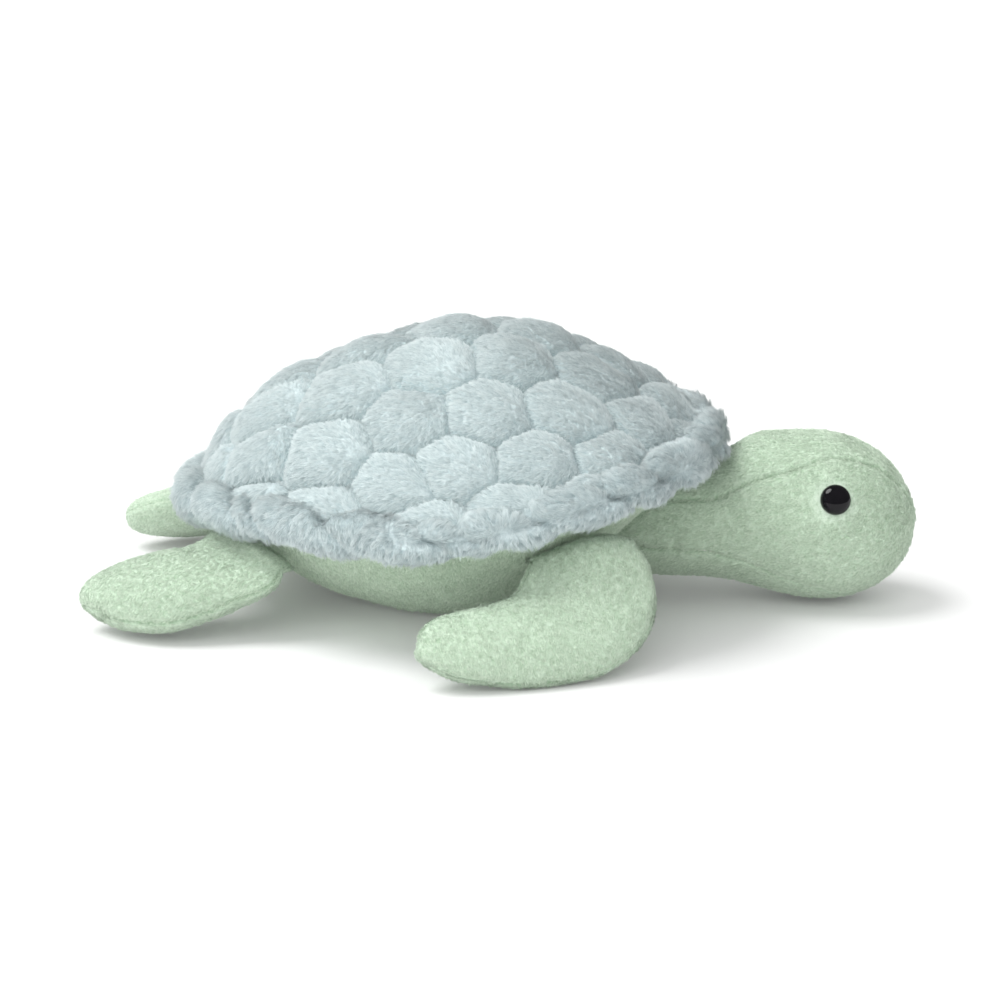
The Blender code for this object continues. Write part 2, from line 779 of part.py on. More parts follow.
def blade_shape(frame, sizes):
    """Four functions of a flipper: plan place, mid surface, its normal, and half thickness."""
    hinge, forward, outward = frame
    length, reach, drop, fall_power, twist_share, half_thickness, bulge, lead, trail = sizes
    up_sign = math.copysign(1.0, forward.cross(outward)[2])

    def plan_spot(way, across):
        lead_spot = curve_through(lead, way)
        trail_spot = curve_through(trail, way)
        shares = trail_spot.lerp(lead_spot, (across + 1.0) / 2.0)
        behind = way - heading_step_share
        moved = lead_spot + trail_spot - curve_through(lead, behind) - curve_through(trail, behind)
        spot = Vector((shares[0] * length, shares[1] * reach))
        heading = Vector((moved[0] * length, moved[1] * reach))
        if heading.length > 0.0:
            spot += bulge * way ** 6 * (1.0 - across ** 2) * heading.normalized()
        return spot

    def surface(plan):
        if plan[1] <= 0.0:
            return hinge + plan[0] * forward + plan[1] * outward
        out_share = plan[1] / reach
        fall = drop * out_share ** fall_power + twist_share * plan[0] * smooth_share(2.0 * out_share)
        slant = math.sqrt(max(1.0 - (drop / reach) ** 2, 0.0))
        return hinge + plan[0] * forward + plan[1] * slant * outward - Vector((0.0, 0.0, fall))

    def normal(plan):
        if plan[1] <= 0.0:
            return forward.cross(outward).normalized() * up_sign
        step = reach * blade_step_share
        ahead = surface(plan + Vector((step, 0.0))) - surface(plan - Vector((step, 0.0)))
        out = surface(plan + Vector((0.0, step))) - surface(plan - Vector((0.0, step)))
        return ahead.cross(out).normalized() * up_sign

    def half_height(way, across):
        swell = root_radius + (half_thickness - root_radius) * smooth_share(way / swell_share)
        past = max(way - tip_start_share, 0.0) / (1.0 - tip_start_share)
        end = math.sqrt(max(1.0 - past ** 2, 0.0))
        return swell * end * max(1.0 - abs(across) ** edge_flat_power, 0.0) ** edge_round_power

    return plan_spot, surface, normal, half_height


def blade_grid(shape, inset, height_of):
    """Rows of points of one skin face, from the rounded root to the tip, inset from the outline."""
    plan_spot, surface, normal, half_height = shape
    rows = []
    for turn_share in root_turn_shares:
        turn = math.pi / 2.0 * turn_share
        behind = -(root_radius - inset) * math.cos(turn)
        rows.append((None, behind, math.sin(turn)))
    for step in range(blade_cells_long + 1):
        rows.append((step / blade_cells_long, 0.0, 1.0))
    grid = []
    for way, behind, swell in rows:
        line = []
        for cell in range(blade_cells_wide + 1):
            across = 2.0 * cell / blade_cells_wide - 1.0
            at = 0.0 if way is None else way
            lead_spot = plan_spot(at, 1.0)
            trail_spot = plan_spot(at, -1.0)
            width = (lead_spot - trail_spot).length
            narrow = 1.0 - 2.0 * inset / width
            spot = plan_spot(at * (1.0 - inset / width), across * narrow)
            spot[1] += behind
            height = height_of(half_height(at, across) * swell)
            line.append((surface(spot), normal(spot), height))
        grid.append(line)
    return grid


def make_flipper(word, frame, sizes, side, skin, filling, pivot):
    """Two sewn skins and their filling."""
    shape = blade_shape(frame, sizes)
    half_thickness = sizes[5]
    in_share = (half_thickness - cloth) / half_thickness
    fill_share = (half_thickness - cloth - blade_fill_clearance) / half_thickness
    outer = blade_grid(shape, 0.0, lambda height: height + gap / 2.0)
    inner = blade_grid(shape, seam_allowance, lambda height: height * in_share + gap / 2.0)
    fill = blade_grid(shape, seam_allowance + blade_fill_inset, lambda height: height * fill_share)
    for face_word, up in (("top", 1.0), ("bottom", -1.0)):
        points = []
        outer_rows = []
        inner_rows = []
        for grid, rows in ((outer, outer_rows), (inner, inner_rows)):
            for line in grid:
                rows.append(list(range(len(points), len(points) + len(line))))
                points += [mid + up * height * normal for mid, normal, height in line]
        faces = faces_between(outer_rows, False) + faces_between(inner_rows, False)
        faces += faces_between([grid_border(outer_rows), grid_border(inner_rows)], True)
        make_piece(f"{word}_{face_word}", mirrored(points, side), faces, skin, pivot)
    points = []
    top_rows = []
    bottom_rows = []
    for rows, up in ((top_rows, 1.0), (bottom_rows, -1.0)):
        for number, line in enumerate(fill):
            row = []
            for cell, (mid, normal, height) in enumerate(line):
                on_border = number in (0, len(fill) - 1) or cell in (0, len(line) - 1)
                if on_border and up < 0.0:
                    row.append(top_rows[number][cell])
                    continue
                row.append(len(points))
                points.append(mid + up * height * normal)
            rows.append(row)
    faces = faces_between(top_rows, False) + faces_between(bottom_rows, False)
    make_piece(f"{word}_stuffing", mirrored(points, side), faces, filling, pivot)


def main():
    for thing in list(bpy.data.objects):
        bpy.data.objects.remove(thing, do_unlink=True)

    shell_plush = make_material("shell_plush", (0.56, 0.66, 0.67), 0.95)
    mint_plush = make_material("mint_plush", (0.53, 0.66, 0.52), 0.95)
    lining = make_material("lining_cloth", (0.86, 0.86, 0.83), 0.9)
    fibre = make_material("fibre_filling", (0.93, 0.93, 0.91), 1.0)
    eye_plastic = make_material("eye_plastic", (0.01, 0.01, 0.012), 0.08)
    washer_plastic = make_material("washer_plastic", (0.85, 0.86, 0.86), 0.4)

    torso = make_pivot("torso", Vector((0.0, 0.0, 0.0)))
    make_quilt(shell_plush, torso)
    make_backing(lining, torso)
    make_rim(shell_plush, torso)
    belly = make_belly(mint_plush, torso)
    body_stuffing = make_body_stuffing(fibre, torso)
    make_neck_socket([belly, body_stuffing], torso, lining)

    head_pivot = make_pivot("head_pivot", neck_centre())
    side_panels = make_head_panels(mint_plush, head_pivot)
    head_stuffing = make_head_stuffing(fibre, head_pivot)
    make_eyes(eye_plastic, washer_plastic, side_panels, head_stuffing, head_pivot)

    front_height = rim_mid_height - front_root_below_rim
    front_drop = front_height - front_tip_height
    front_frame = root_frame(front_root_degrees, front_height, front_axis_rise_share,
                             front_root_offset)
    front_sizes = (front_length, front_reach, front_drop, front_fall_power, front_twist_share,
                   front_half_thickness, front_tip_bulge, front_lead_shares, front_trail_shares)
    rear_height = rim_mid_height - rear_root_below_rim
    rear_drop = rear_height - rear_tip_height
    rear_frame = root_frame(rear_root_degrees, rear_height, rear_axis_rise_share,
                            rear_root_offset)
    rear_sizes = (rear_length, rear_reach, rear_drop, rear_fall_power, rear_twist_share,
                  rear_half_thickness, rear_tip_bulge, rear_lead_shares, rear_trail_shares)
    flippers = (("front", front_frame, front_sizes), ("rear", rear_frame, rear_sizes))
    for end_word, frame, sizes in flippers:
        for side_word, side in (("left", 1.0), ("right", -1.0)):
            word = f"{end_word}_{side_word}_flipper"
            pivot = make_pivot(f"{word}_pivot", mirrored([frame[0]], side)[0])
            make_flipper(word, frame, sizes, side, mint_plush, fibre, pivot)


main()
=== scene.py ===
import math

import bpy
import numpy as np
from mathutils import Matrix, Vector
from mathutils.kdtree import KDTree


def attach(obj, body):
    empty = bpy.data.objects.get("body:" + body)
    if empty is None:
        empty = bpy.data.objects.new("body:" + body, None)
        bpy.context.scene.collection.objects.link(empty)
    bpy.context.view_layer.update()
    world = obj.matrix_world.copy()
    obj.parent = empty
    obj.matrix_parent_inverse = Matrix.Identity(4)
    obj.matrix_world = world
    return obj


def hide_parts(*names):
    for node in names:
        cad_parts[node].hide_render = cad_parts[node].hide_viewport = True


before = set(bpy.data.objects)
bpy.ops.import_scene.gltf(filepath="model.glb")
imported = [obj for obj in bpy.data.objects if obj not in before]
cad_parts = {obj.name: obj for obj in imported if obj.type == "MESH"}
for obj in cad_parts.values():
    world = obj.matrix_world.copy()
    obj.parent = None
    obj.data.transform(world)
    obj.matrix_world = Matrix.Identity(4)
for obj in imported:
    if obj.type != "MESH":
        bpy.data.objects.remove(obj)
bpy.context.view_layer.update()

rng = np.random.default_rng(71)

# Sizes shared with the solids, in metres; turns are in radians where their name doesn't say degrees
gap = 0.0003
shell_centre_x = -0.0223
rim_half_length = 0.119
rim_half_width = 0.111
rim_taper_share = 0.20
rim_mid_height = 0.0635
rim_slope_share = 0.126
rim_lift = 0.005
rim_droop = 0.011
roll_width = 0.019
roll_height = 0.020
roll_seat_top = 0.006
roll_seat_bottom = 0.007
dome_rise = 0.054
dome_power_mid = 1.04
dome_power_swing = 0.32
quilt_foot = 0.002
quilt_thickness = 0.0065
crown_spread_share = 0.3
scute_shares = np.array((
    (-0.89, -0.29), (-0.74, -0.66), (-0.41, -0.86), (-0.03, -0.95), (0.27, -0.86), (0.58, -0.80),
    (0.83, -0.55), (-0.64, -0.47), (-0.37, -0.58), (-0.13, -0.74), (0.06, -0.67), (0.31, -0.63),
    (0.57, -0.54), (-0.57, -0.21), (-0.31, -0.30), (-0.10, -0.47), (0.14, -0.44), (0.39, -0.38),
    (0.65, -0.27), (0.89, -0.20), (-0.03, -0.23), (0.20, -0.18), (0.46, -0.12), (-0.82, 0.04),
    (-0.50, 0.08), (-0.25, 0.00), (0.02, 0.08), (0.27, 0.09), (0.53, 0.12), (0.75, 0.02),
    (-0.68, 0.36), (-0.38, 0.34), (-0.12, 0.35), (0.14, 0.36), (0.39, 0.38), (0.65, 0.32),
    (0.87, 0.28), (-0.88, 0.33), (-0.50, 0.64), (-0.24, 0.62), (0.02, 0.65), (0.27, 0.66),
    (0.53, 0.60), (0.79, 0.57), (-0.70, 0.66), (-0.40, 0.88), (-0.12, 0.92), (0.15, 0.94),
    (0.42, 0.90), (0.62, 0.78),
))
belly_power_mid = 1.66
belly_power_swing = -0.37
belly_flat_share = 0.28
belly_inset = 0.0065
neck_radius = 0.028
neck_centre_height = 0.0393
neck_inset = 0.033
head_length = 0.1286
crease_from_neck = 0.031
crease_top = 0.0670
crown_from_neck = 0.060
crown_top = 0.0785
chin_start_from_neck = 0.030
chin_from_neck = 0.084
chin_bottom = 0.0015
head_half_width = 0.036
nose_length = 0.0446
nose_height = 0.0354
ball_turn_share = 0.22
nose_turn_share = 0.62
crown_seam_degrees = ((0.0, 0.30, 0.48, 0.70, 1.0), (62.0, 58.0, 50.0, 31.0, 25.0))
chin_seam_degrees = ((0.0, 0.25, 0.48, 0.66, 0.82, 1.0), (108.0, 112.0, 128.0, 138.0, 158.0, 166.0))
eye_diameter = 0.014
eye_height = 0.0048
eye_back_thickness = 0.0012
eye_from_neck = 0.0905
eye_angle_degrees = 64.0
eye_stem_diameter = 0.0046
eye_stem_length = 0.012
root_radius = 0.0065
heading_step_share = 0.1
swell_share = 0.4
tip_start_share = 0.55
edge_flat_power = 2.4
edge_round_power = 0.6
front = {
    "root_degrees": 63.0, "root_height": 0.049, "rise_share": 0.0, "root_offset": -0.0002,
    "length": 0.1125, "reach": 0.059, "drop": 0.0435, "fall_power": 1.1, "twist_share": 0.0,
    "half_thickness": 0.0105, "bulge": 0.003, "shoulder": 0.0075,
    "lead": np.array((
        (0.365, 0.0), (0.405, 0.19), (0.40, 0.44), (0.338, 0.69), (0.222, 0.87),
        (0.053, 0.975), (-0.124, 1.0), (-0.31, 0.965), (-0.465, 0.885), (-0.56, 0.765))),
    "trail": np.array((
        (-0.080, 0.0), (-0.118, 0.13), (-0.16, 0.235), (-0.231, 0.29), (-0.311, 0.33),
        (-0.395, 0.345), (-0.47, 0.37), (-0.535, 0.42), (-0.575, 0.50), (-0.59, 0.60))),
}
rear = {
    "root_degrees": 140.0, "root_height": 0.040, "rise_share": -0.12, "root_offset": 0.0014,
    "length": 0.077, "reach": 0.0735, "drop": 0.0335, "fall_power": 0.85, "twist_share": 0.14,
    "half_thickness": 0.0125, "bulge": 0.003, "shoulder": 0.0,
    "lead": np.array((
        (0.30, 0.0), (0.335, 0.078), (0.294, 0.188), (0.206, 0.318), (0.1375, 0.468),
        (0.056, 0.636), (-0.0625, 0.79), (-0.206, 0.89), (-0.35, 0.945), (-0.455, 0.955))),
    "trail": np.array((
        (-0.425, 0.0), (-0.431, 0.117), (-0.45, 0.24), (-0.494, 0.344), (-0.55, 0.448),
        (-0.60, 0.552), (-0.6375, 0.656), (-0.6625, 0.76), (-0.6625, 0.864), (-0.631, 0.948))),
}

# Pile lengths
shell_pile = 0.0040
rim_pile = 0.0053
body_pile = 0.0026
flipper_pile = 0.0022


def eased(value):
    """Values from 0 to 1 drawn into a smooth start and end."""
    share = np.clip(value, 0.0, 1.0)
    return share * share * (3.0 - 2.0 * share)


def length_of(vectors):
    return np.linalg.norm(vectors, axis=-1)


def unit(vectors):
    length = np.linalg.norm(vectors, axis=-1, keepdims=True)
    return vectors / np.maximum(length, 1e-12)


def lattice(x, y, z, seed):
    """Repeatable random numbers from -1 to 1 at whole-number places."""
    mixed = (x * 374761393 + y * 668265263 + z * 1442695041 + seed * 974634777) & 0xFFFFFFFF
    mixed = ((mixed ^ (mixed >> 13)) * 1274126177) & 0xFFFFFFFF
    mixed = ((mixed ^ (mixed >> 16)) * 2246822519) & 0xFFFFFFFF
    return ((mixed ^ (mixed >> 15)) & 0xFFFF) / 32767.5 - 1.0


def noise(places, size, seed):
    """Smooth random field from -1 to 1 with lumps of a given size."""
    scaled = places / size
    cell = np.floor(scaled).astype(np.int64)
    part = scaled - cell
    ease = eased(part)
    total = np.zeros(len(places))
    for corner in np.ndindex(2, 2, 2):
        weight = np.where(corner, ease, 1.0 - ease).prod(1)
        total += weight * lattice(*(cell + corner).T, seed)
    return total


def fine_noise(places, sizes, seed):
    """Lumps of two small sizes together, as strands and cloth show."""
    return 0.6 * noise(places, sizes[0], seed) + 0.4 * noise(places, sizes[1], seed + 1)


def steps_round(count):
    return np.arange(count) * 2.0 * np.pi / count


def grid_round(rows, columns):
    """Each row value with each step round, as two flat arrays."""
    row, turn = np.meshgrid(rows, steps_round(columns), indexing="ij")
    return row.ravel(), turn.ravel()


def wrapped(angle):
    """Angles brought to within half a turn of zero."""
    return (angle + np.pi) % (2.0 * np.pi) - np.pi


def rim_spot(angle, outward):
    """Plan point of the rim's middle line, moved outward."""
    cosine = np.cos(angle)
    sine = np.sin(angle)
    spread = 1.0 + rim_taper_share * cosine
    along_x = -rim_half_length * sine
    along_y = rim_half_width * (cosine * spread - rim_taper_share * sine * sine)
    normal = unit(np.stack((along_y, -along_x), -1))
    spot = np.stack((shell_centre_x + rim_half_length * cosine, rim_half_width * sine * spread), -1)
    return spot + np.asarray(outward)[..., None] * normal


def rim_level(angle, share):
    """Height of the shell's seam plane at a share of the way out to the rim."""
    side = np.sin(angle) ** 2
    sway = (rim_lift * side - rim_droop * side ** 3) * share ** 2
    return rim_mid_height + rim_slope_share * share * rim_half_length * np.cos(angle) + sway


def toward_centre(spot, share):
    centre = np.array((shell_centre_x, 0.0))
    return centre + share[..., None] * (spot - centre)


def dome_spot(flat, depth):
    """Point of the dome at flattened unit-disc coordinates."""
    share = np.minimum(length_of(flat), 1.0)
    spread = 1.0 + crown_spread_share * (1.0 - share * share)
    angle = np.arctan2(flat[:, 1], flat[:, 0])
    share = np.minimum(share * spread, 1.0)
    spot = toward_centre(rim_spot(angle, quilt_foot - depth), share)
    power = dome_power_mid + dome_power_swing * np.cos(angle)
    rise = (dome_rise - depth) * (1.0 - share * share) ** power
    level = rim_level(angle, share) + roll_seat_top + gap
    return np.column_stack((spot, level + rise))


dome_step_share = 0.01


def inside_disc(flat):
    """Places drawn in from the disc's edge, so that a step from them stays on it."""
    reach = np.maximum(length_of(flat), dome_step_share)
    return flat * np.minimum(1.0, (1.0 - 2.0 * dome_step_share) / reach)[:, None]


def dome_normal(flat):
    flat = inside_disc(flat)
    across, along = (dome_spot(flat + step, 0.0) - dome_spot(flat - step, 0.0)
                     for step in dome_step_share * np.eye(2))
    return unit(np.cross(across, along))


# Relief of the quilted shell
panel_bend_share = 0.014
panel_bend_size_share = 0.13
panel_reach = 0.0155
panel_limit_shares = (0.45, 1.1)
seam_rounding = 0.0014
seam_floor = 0.0006
far_seam = 0.1
shell_puff = 0.0098
shell_puff_power = 0.72
end_start_share = 0.66
end_run_share = 0.26
end_loss_share = 0.70
shell_groove = 0.0010
shell_groove_reach = 0.0015
shell_sink = 0.0046
rear_fullness = 0.0006
crown_fullness = 0.0024
shell_strand_sizes = (0.0016, 0.0008)
shell_streak = 0.0005
shell_lump = 0.0008
shell_lump_size = 0.010
shell_hem = 0.0110
shell_hem_out = 0.0015
shell_least = 0.0010
swirl_size_share = 0.12
fan_reach_share = 0.22

# Gaps between panel centres; a panel's gap to itself is left out by making it large
scute_gaps = length_of(scute_shares[:, None, :] - scute_shares[None, :, :])
scute_gaps += 9.0 * np.eye(len(scute_shares))
scute_reach = 0.5 * np.partition(scute_gaps, 1, axis=1)[:, :2].mean(1) * rim_half_width


def scute_facts(flat):
    """Panel of each place, its distance to a seam, the same with rounded corners, and its offset."""
    wander = np.column_stack((flat, np.zeros(len(flat))))
    bend = np.column_stack([noise(wander, panel_bend_size_share, seed) for seed in (5, 6)])
    offsets = (flat + panel_bend_share * bend)[:, None, :] - scute_shares[None, :, :]
    squared = (offsets ** 2).sum(-1)
    panel = squared.argmin(1)
    rows = np.arange(len(flat))
    edges = (squared - squared[rows, panel][:, None]) / (2.0 * scute_gaps[panel])
    edges[rows, panel] = 1.0 - length_of(flat)
    edges *= rim_half_width
    edge = np.maximum(edges.min(1), 0.0)
    soft = -seam_rounding * np.log(np.exp(-np.minimum(edges, far_seam) / seam_rounding).sum(1))
    return panel, edge, np.maximum(soft + seam_floor, 0.0), offsets[rows, panel]


def shell_relief(flat, places):
    """Height of the quilted plush over the dome, and the tone of its colour, 0 in seams and 1 on lumps:
    painted shade in the seams and painted light on the pillows.
    """
    panel, edge, soft, offset = scute_facts(flat)
    size_share = (0.9 + 0.1 * lattice(panel, 0, 0, 3)) * scute_reach[panel] / panel_reach
    climb = 1.0 - np.minimum(soft / scute_reach[panel], 1.0)
    pillow = (1.0 - climb ** 2.0) ** shell_puff_power
    seam = np.exp(-(edge / shell_groove_reach) ** 2)
    turn = np.arctan2(offset[:, 1], offset[:, 0])
    reach = length_of(offset) * rim_half_width
    strands = np.column_stack((turn * reach, reach * 0.22, panel * 0.05))
    streak = fine_noise(strands, shell_strand_sizes, 8)
    lump = noise(places, shell_lump_size, 10)
    end_share = eased((np.abs(flat[:, 0] - 0.02) - end_start_share) / end_run_share)
    puff = shell_puff * np.clip(size_share, *panel_limit_shares)
    puff *= 1.0 - end_loss_share * end_share
    height = puff * pillow - shell_groove * seam - shell_sink
    height += rear_fullness * np.exp(-((flat[:, 0] + 0.50) / 0.30) ** 2 - (flat[:, 1] / 0.8) ** 4)
    height += crown_fullness * (1.0 - (flat ** 2).sum(1))
    height += (shell_streak * streak + shell_lump * lump) * (1.0 - 0.7 * seam)
    # Tone: painted shade in the seams and painted light on the pillows, with streaks and lumps of tone
    tone_and_painted_shade = 0.5 + 0.35 * streak + 0.25 * (pillow - 0.6) + 0.1 * lump - 0.5 * seam
    return height, np.clip(tone_and_painted_shade, 0.0, 1.0)


def shell_lay(flat):
    """Way the shell's pile lies, combed and fanned out on each panel, and the distance to a seam."""
    panel, edge, _, offset = scute_facts(flat)
    reach = np.linalg.norm(offset, axis=-1, keepdims=True)
    swirl = 0.5 * lattice(panel, 0, 0, 17)
    swirl += 0.6 * noise(np.column_stack((flat, panel * 1.0)), swirl_size_share, 18)
    combed = -np.column_stack((np.cos(swirl), np.sin(swirl)))
    way = 0.9 * unit(offset) * eased(reach / fan_reach_share) + 0.65 * combed
    flat = inside_disc(flat)
    return unit(dome_spot(flat + dome_step_share * unit(way), 0.0) - dome_spot(flat, 0.0)), edge


# Relief of the rim roll
crease_count = 23
crease_shift_share = 0.35
crease_places = np.arange(crease_count) + crease_shift_share * rng.uniform(-1.0, 1.0, crease_count)
crease_angles = crease_places * 2.0 * np.pi / crease_count
crease_least = 0.0028
crease_most = 0.0058
crease_depths = rng.uniform(crease_least, crease_most, crease_count)
crease_reach = 0.0030
crease_full = 0.004
crease_lean = 0.10
crease_wander = 0.02
crease_wander_size = 0.02
rim_puff = 0.0036
rim_puff_reach = 0.015
rim_groove = 0.0034
rim_groove_reach = 0.0028
rim_groove_turn = 0.18
groove_wander = 0.16
groove_wander_size = 0.22
rim_sag = 0.0060
rim_room = 0.0028
neck_room = 0.0016
rim_strand_sizes = (0.0017, 0.0009)
rim_streak = 0.0005
rim_lump = 0.0009
rim_lump_size = 0.011
rim_sink = 0.0024


def rim_place(angle, turn, swell):
    """Point of the rim roll; swell is added to its half width and half height."""
    outward = (roll_width / 2.0 + swell) * np.cos(turn)
    height = (roll_height / 2.0 + swell) * np.sin(turn)
    plan = rim_spot(angle, outward)
    return np.column_stack((plan, rim_level(angle, 1.0) + height))


def front_facing(angle):
    """1 round the rim's front and sides, 0 at its tail end."""
    return eased((np.cos(angle) + 0.45) / 0.5)


def rim_relief(angle, turn, places):
    """Height of the plush over the plain roll, and the tone of its colour, with painted shade in the
    creases (0 in creases).
    """
    slanted = angle + crease_lean * np.sin(turn) + crease_wander * noise(places, crease_wander_size, 21)
    gaps = np.abs(wrapped(slanted[:, None] - crease_angles[None])) * rim_half_width
    crease = (np.exp(-(gaps / crease_reach) ** 2) * crease_depths[None]).sum(1)
    bulge = rim_puff * (1.0 - (1.0 - np.minimum(gaps.min(1) / rim_puff_reach, 1.0)) ** 2)
    front_share = front_facing(angle)
    wobble = groove_wander * noise(np.column_stack((angle, angle * 0, angle * 0)), groove_wander_size, 22)
    groove_off = np.abs(wrapped(turn - rim_groove_turn - wobble)) * roll_height / 2.0
    groove = rim_groove * front_share * np.exp(-(groove_off / rim_groove_reach) ** 2)
    crease = crease * (1.0 - 0.6 * front_share) * (1.0 - 0.6 * eased(-np.cos(turn)))
    far_front = eased((np.cos(angle) - 0.45) / 0.4) * eased((np.sin(angle) + 0.25) / 0.5)
    groove += rim_sag * far_front * np.maximum(np.sin(turn), 0.0)
    at_neck = eased((np.cos(angle) - 0.85) / 0.1)
    groove += (rim_room + neck_room * at_neck) * eased(-1.4 * np.sin(turn))
    strands = np.column_stack((angle * rim_half_width, turn * roll_height * 0.12, turn * 0))
    streak = fine_noise(strands, rim_strand_sizes, 23)
    lump = noise(places, rim_lump_size, 25)
    height = bulge - crease - groove + rim_streak * streak + rim_lump * lump - rim_sink
    # The tone is darkened in the creases as painted shade
    crease_shade = np.clip(crease / crease_full, 0.0, 1.0)
    return height, np.clip(0.5 + 0.35 * streak + 0.12 * lump - 0.5 * crease_shade, 0.0, 1.0)


def belly_power(angle):
    return belly_power_mid + belly_power_swing * np.cos(angle)


def belly_spot(angle, share):
    spot = toward_centre(rim_spot(angle, -belly_inset), share)
    seam = rim_level(angle, 1.0) - roll_seat_bottom - gap
    climb = (np.maximum(share - belly_flat_share, 0.0) / (1.0 - belly_flat_share)) ** belly_power(angle)
    return np.column_stack((spot, seam * climb))


def head_section(travel):
    """Middle height, half height and half width of the head at a distance ahead of the neck."""
    neck_top = neck_centre_height + neck_radius
    neck_bottom = neck_centre_height - neck_radius
    dip = eased(travel / crease_from_neck)
    rise = eased((travel - crease_from_neck) / (crown_from_neck - crease_from_neck))
    top = neck_top + (crease_top - neck_top) * dip + (crown_top - crease_top) * rise
    drop = eased((travel - chin_start_from_neck) / (chin_from_neck - chin_start_from_neck))
    bottom = neck_bottom + (chin_bottom - neck_bottom) * drop
    half_width = neck_radius + (head_half_width - neck_radius) * drop
    ahead = np.maximum(travel - (head_length - nose_length), 0.0) / nose_length
    round_share = np.sqrt(np.maximum(1.0 - ahead * ahead, 0.0))
    middle = (top + bottom) / 2.0
    middle = middle + (nose_height - middle) * ahead ** 2
    ball = np.sqrt(np.maximum(neck_radius ** 2 - travel ** 2, 0.0))
    behind = travel <= 0.0
    return (np.where(behind, neck_centre_height, middle),
            np.where(behind, ball, (top - bottom) / 2.0 * round_share),
            np.where(behind, ball, half_width * round_share))


def head_travel(turn):
    widest = head_length - nose_length
    ball = -neck_radius * np.cos(np.pi / 2.0 * turn / ball_turn_share)
    middle = widest * (turn - ball_turn_share) / (nose_turn_share - ball_turn_share)
    nose_share = (turn - nose_turn_share) / (1.0 - nose_turn_share)
    nose = widest + nose_length * np.sin(np.pi / 2.0 * nose_share)
    return np.where(turn < ball_turn_share, ball, np.where(turn < nose_turn_share, middle, nose))


def head_turn_at(travel):
    """Share of the way round from the ball's back to the nose at a distance ahead of the neck's centre."""
    widest = head_length - nose_length
    if travel < widest:
        return ball_turn_share + travel / widest * (nose_turn_share - ball_turn_share)
    quarter = math.asin((travel - widest) / nose_length)
    return nose_turn_share + (1.0 - nose_turn_share) * quarter / (math.pi / 2.0)


neck_centre_x = shell_centre_x + rim_half_length - neck_inset


def head_spot(turn, angle):
    travel = head_travel(turn)
    middle, half_height, half_width = head_section(travel)
    return np.column_stack((neck_centre_x + travel, half_width * np.sin(angle),
                            middle + half_height * np.cos(angle)))


def head_place(from_neck, degrees):
    """Turn and angle of one spot of the head."""
    return np.array([head_turn_at(from_neck)]), np.radians([degrees])


def head_normal(turn, angle):
    step = 0.004
    turn = np.clip(turn, 2.0 * step, 1.0 - 2.0 * step)
    along = head_spot(turn + step, angle) - head_spot(turn - step, angle)
    sideways = head_spot(turn, angle + step) - head_spot(turn, angle - step)
    return unit(np.cross(along, sideways))


def curve_through(table, share):
    last = len(table) - 1
    place = np.clip(share, 0.0, 1.0) * last
    index = np.minimum(place.astype(int), last - 1)
    part = (place - index)[:, None]
    before = table[np.maximum(index - 1, 0)]
    start = table[index]
    end = table[index + 1]
    after = table[np.minimum(index + 2, last)]
    pull_in = (end - before) * 0.5
    pull_out = (after - start) * 0.5
    cube = part ** 3
    square = part ** 2
    return ((2.0 * cube - 3.0 * square + 1.0) * start + (cube - 2.0 * square + part) * pull_in
            + (3.0 * square - 2.0 * cube) * end + (cube - square) * pull_out)


def root_frame(sizes):
    """Hinge point of a left flipper's root, and its directions forward and outward."""
    angle = np.array([math.radians(sizes["root_degrees"])])
    height = sizes["root_height"]
    seam = (rim_level(angle, 1.0) - roll_seat_bottom - gap)[0]
    power = belly_power(angle)[0]
    bowl_share = (height / seam) ** (1.0 / power)
    share = belly_flat_share + (1.0 - belly_flat_share) * bowl_share
    edge = rim_spot(angle, -belly_inset)
    surface = toward_centre(edge, np.array([share]))[0]
    outward = (rim_spot(angle, 1.0) - rim_spot(angle, 0.0))[0]
    run = (edge[0] - (shell_centre_x, 0.0)) @ outward
    climb = power * seam * bowl_share ** (power - 1.0) / (1.0 - belly_flat_share)
    slope = unit(np.array((climb, -run)))
    stand_off = root_radius + gap + sizes["root_offset"]
    hinge = np.append(surface + outward * slope[0] * stand_off, height + slope[1] * stand_off)
    forward = unit(np.array((outward[1], -outward[0], sizes["rise_share"])))
    return hinge, forward, np.append(outward, 0.0)


def blade_plan(sizes, way, across):
    lead = curve_through(sizes["lead"], way)
    trail = curve_through(sizes["trail"], way)
    shares = trail + (lead - trail) * ((across + 1.0) / 2.0)[:, None]
    behind = way - heading_step_share
    moved = lead + trail - curve_through(sizes["lead"], behind) - curve_through(sizes["trail"], behind)
    scale = np.array((sizes["length"], sizes["reach"]))
    push = sizes["bulge"] * way ** 6 * (1.0 - across ** 2)
    return shares * scale + push[:, None] * unit(moved * scale)


def blade_mid(sizes, frame_at, plan):
    """Point of a flipper's middle sheet."""
    hinge, forward, outward = frame_at
    out_share = np.maximum(plan[:, 1] / sizes["reach"], 0.0)
    fall = sizes["drop"] * out_share ** sizes["fall_power"]
    fall += sizes["twist_share"] * plan[:, 0] * eased(2.0 * out_share)
    slant = math.sqrt(1.0 - (sizes["drop"] / sizes["reach"]) ** 2)
    run = np.where(plan[:, 1] > 0.0, plan[:, 1] * slant, plan[:, 1])
    spot = hinge + plan[:, :1] * forward + run[:, None] * outward
    spot[:, 2] -= fall
    return spot


def blade_normal(sizes, frame_at, plan):
    """Directions up from a flipper's middle sheet."""
    ahead, out = (blade_mid(sizes, frame_at, plan + step) - blade_mid(sizes, frame_at, plan - step)
                  for step in 0.02 * sizes["reach"] * np.eye(2))
    normal = unit(np.cross(ahead, out))
    return normal * np.where(normal[:, 2:] < 0.0, -1.0, 1.0)


root_share = 0.12
root_seat_share = 0.20
shoulder_end_share = 0.45
shoulder_out_share = 0.70
shoulder_up_share = 0.80


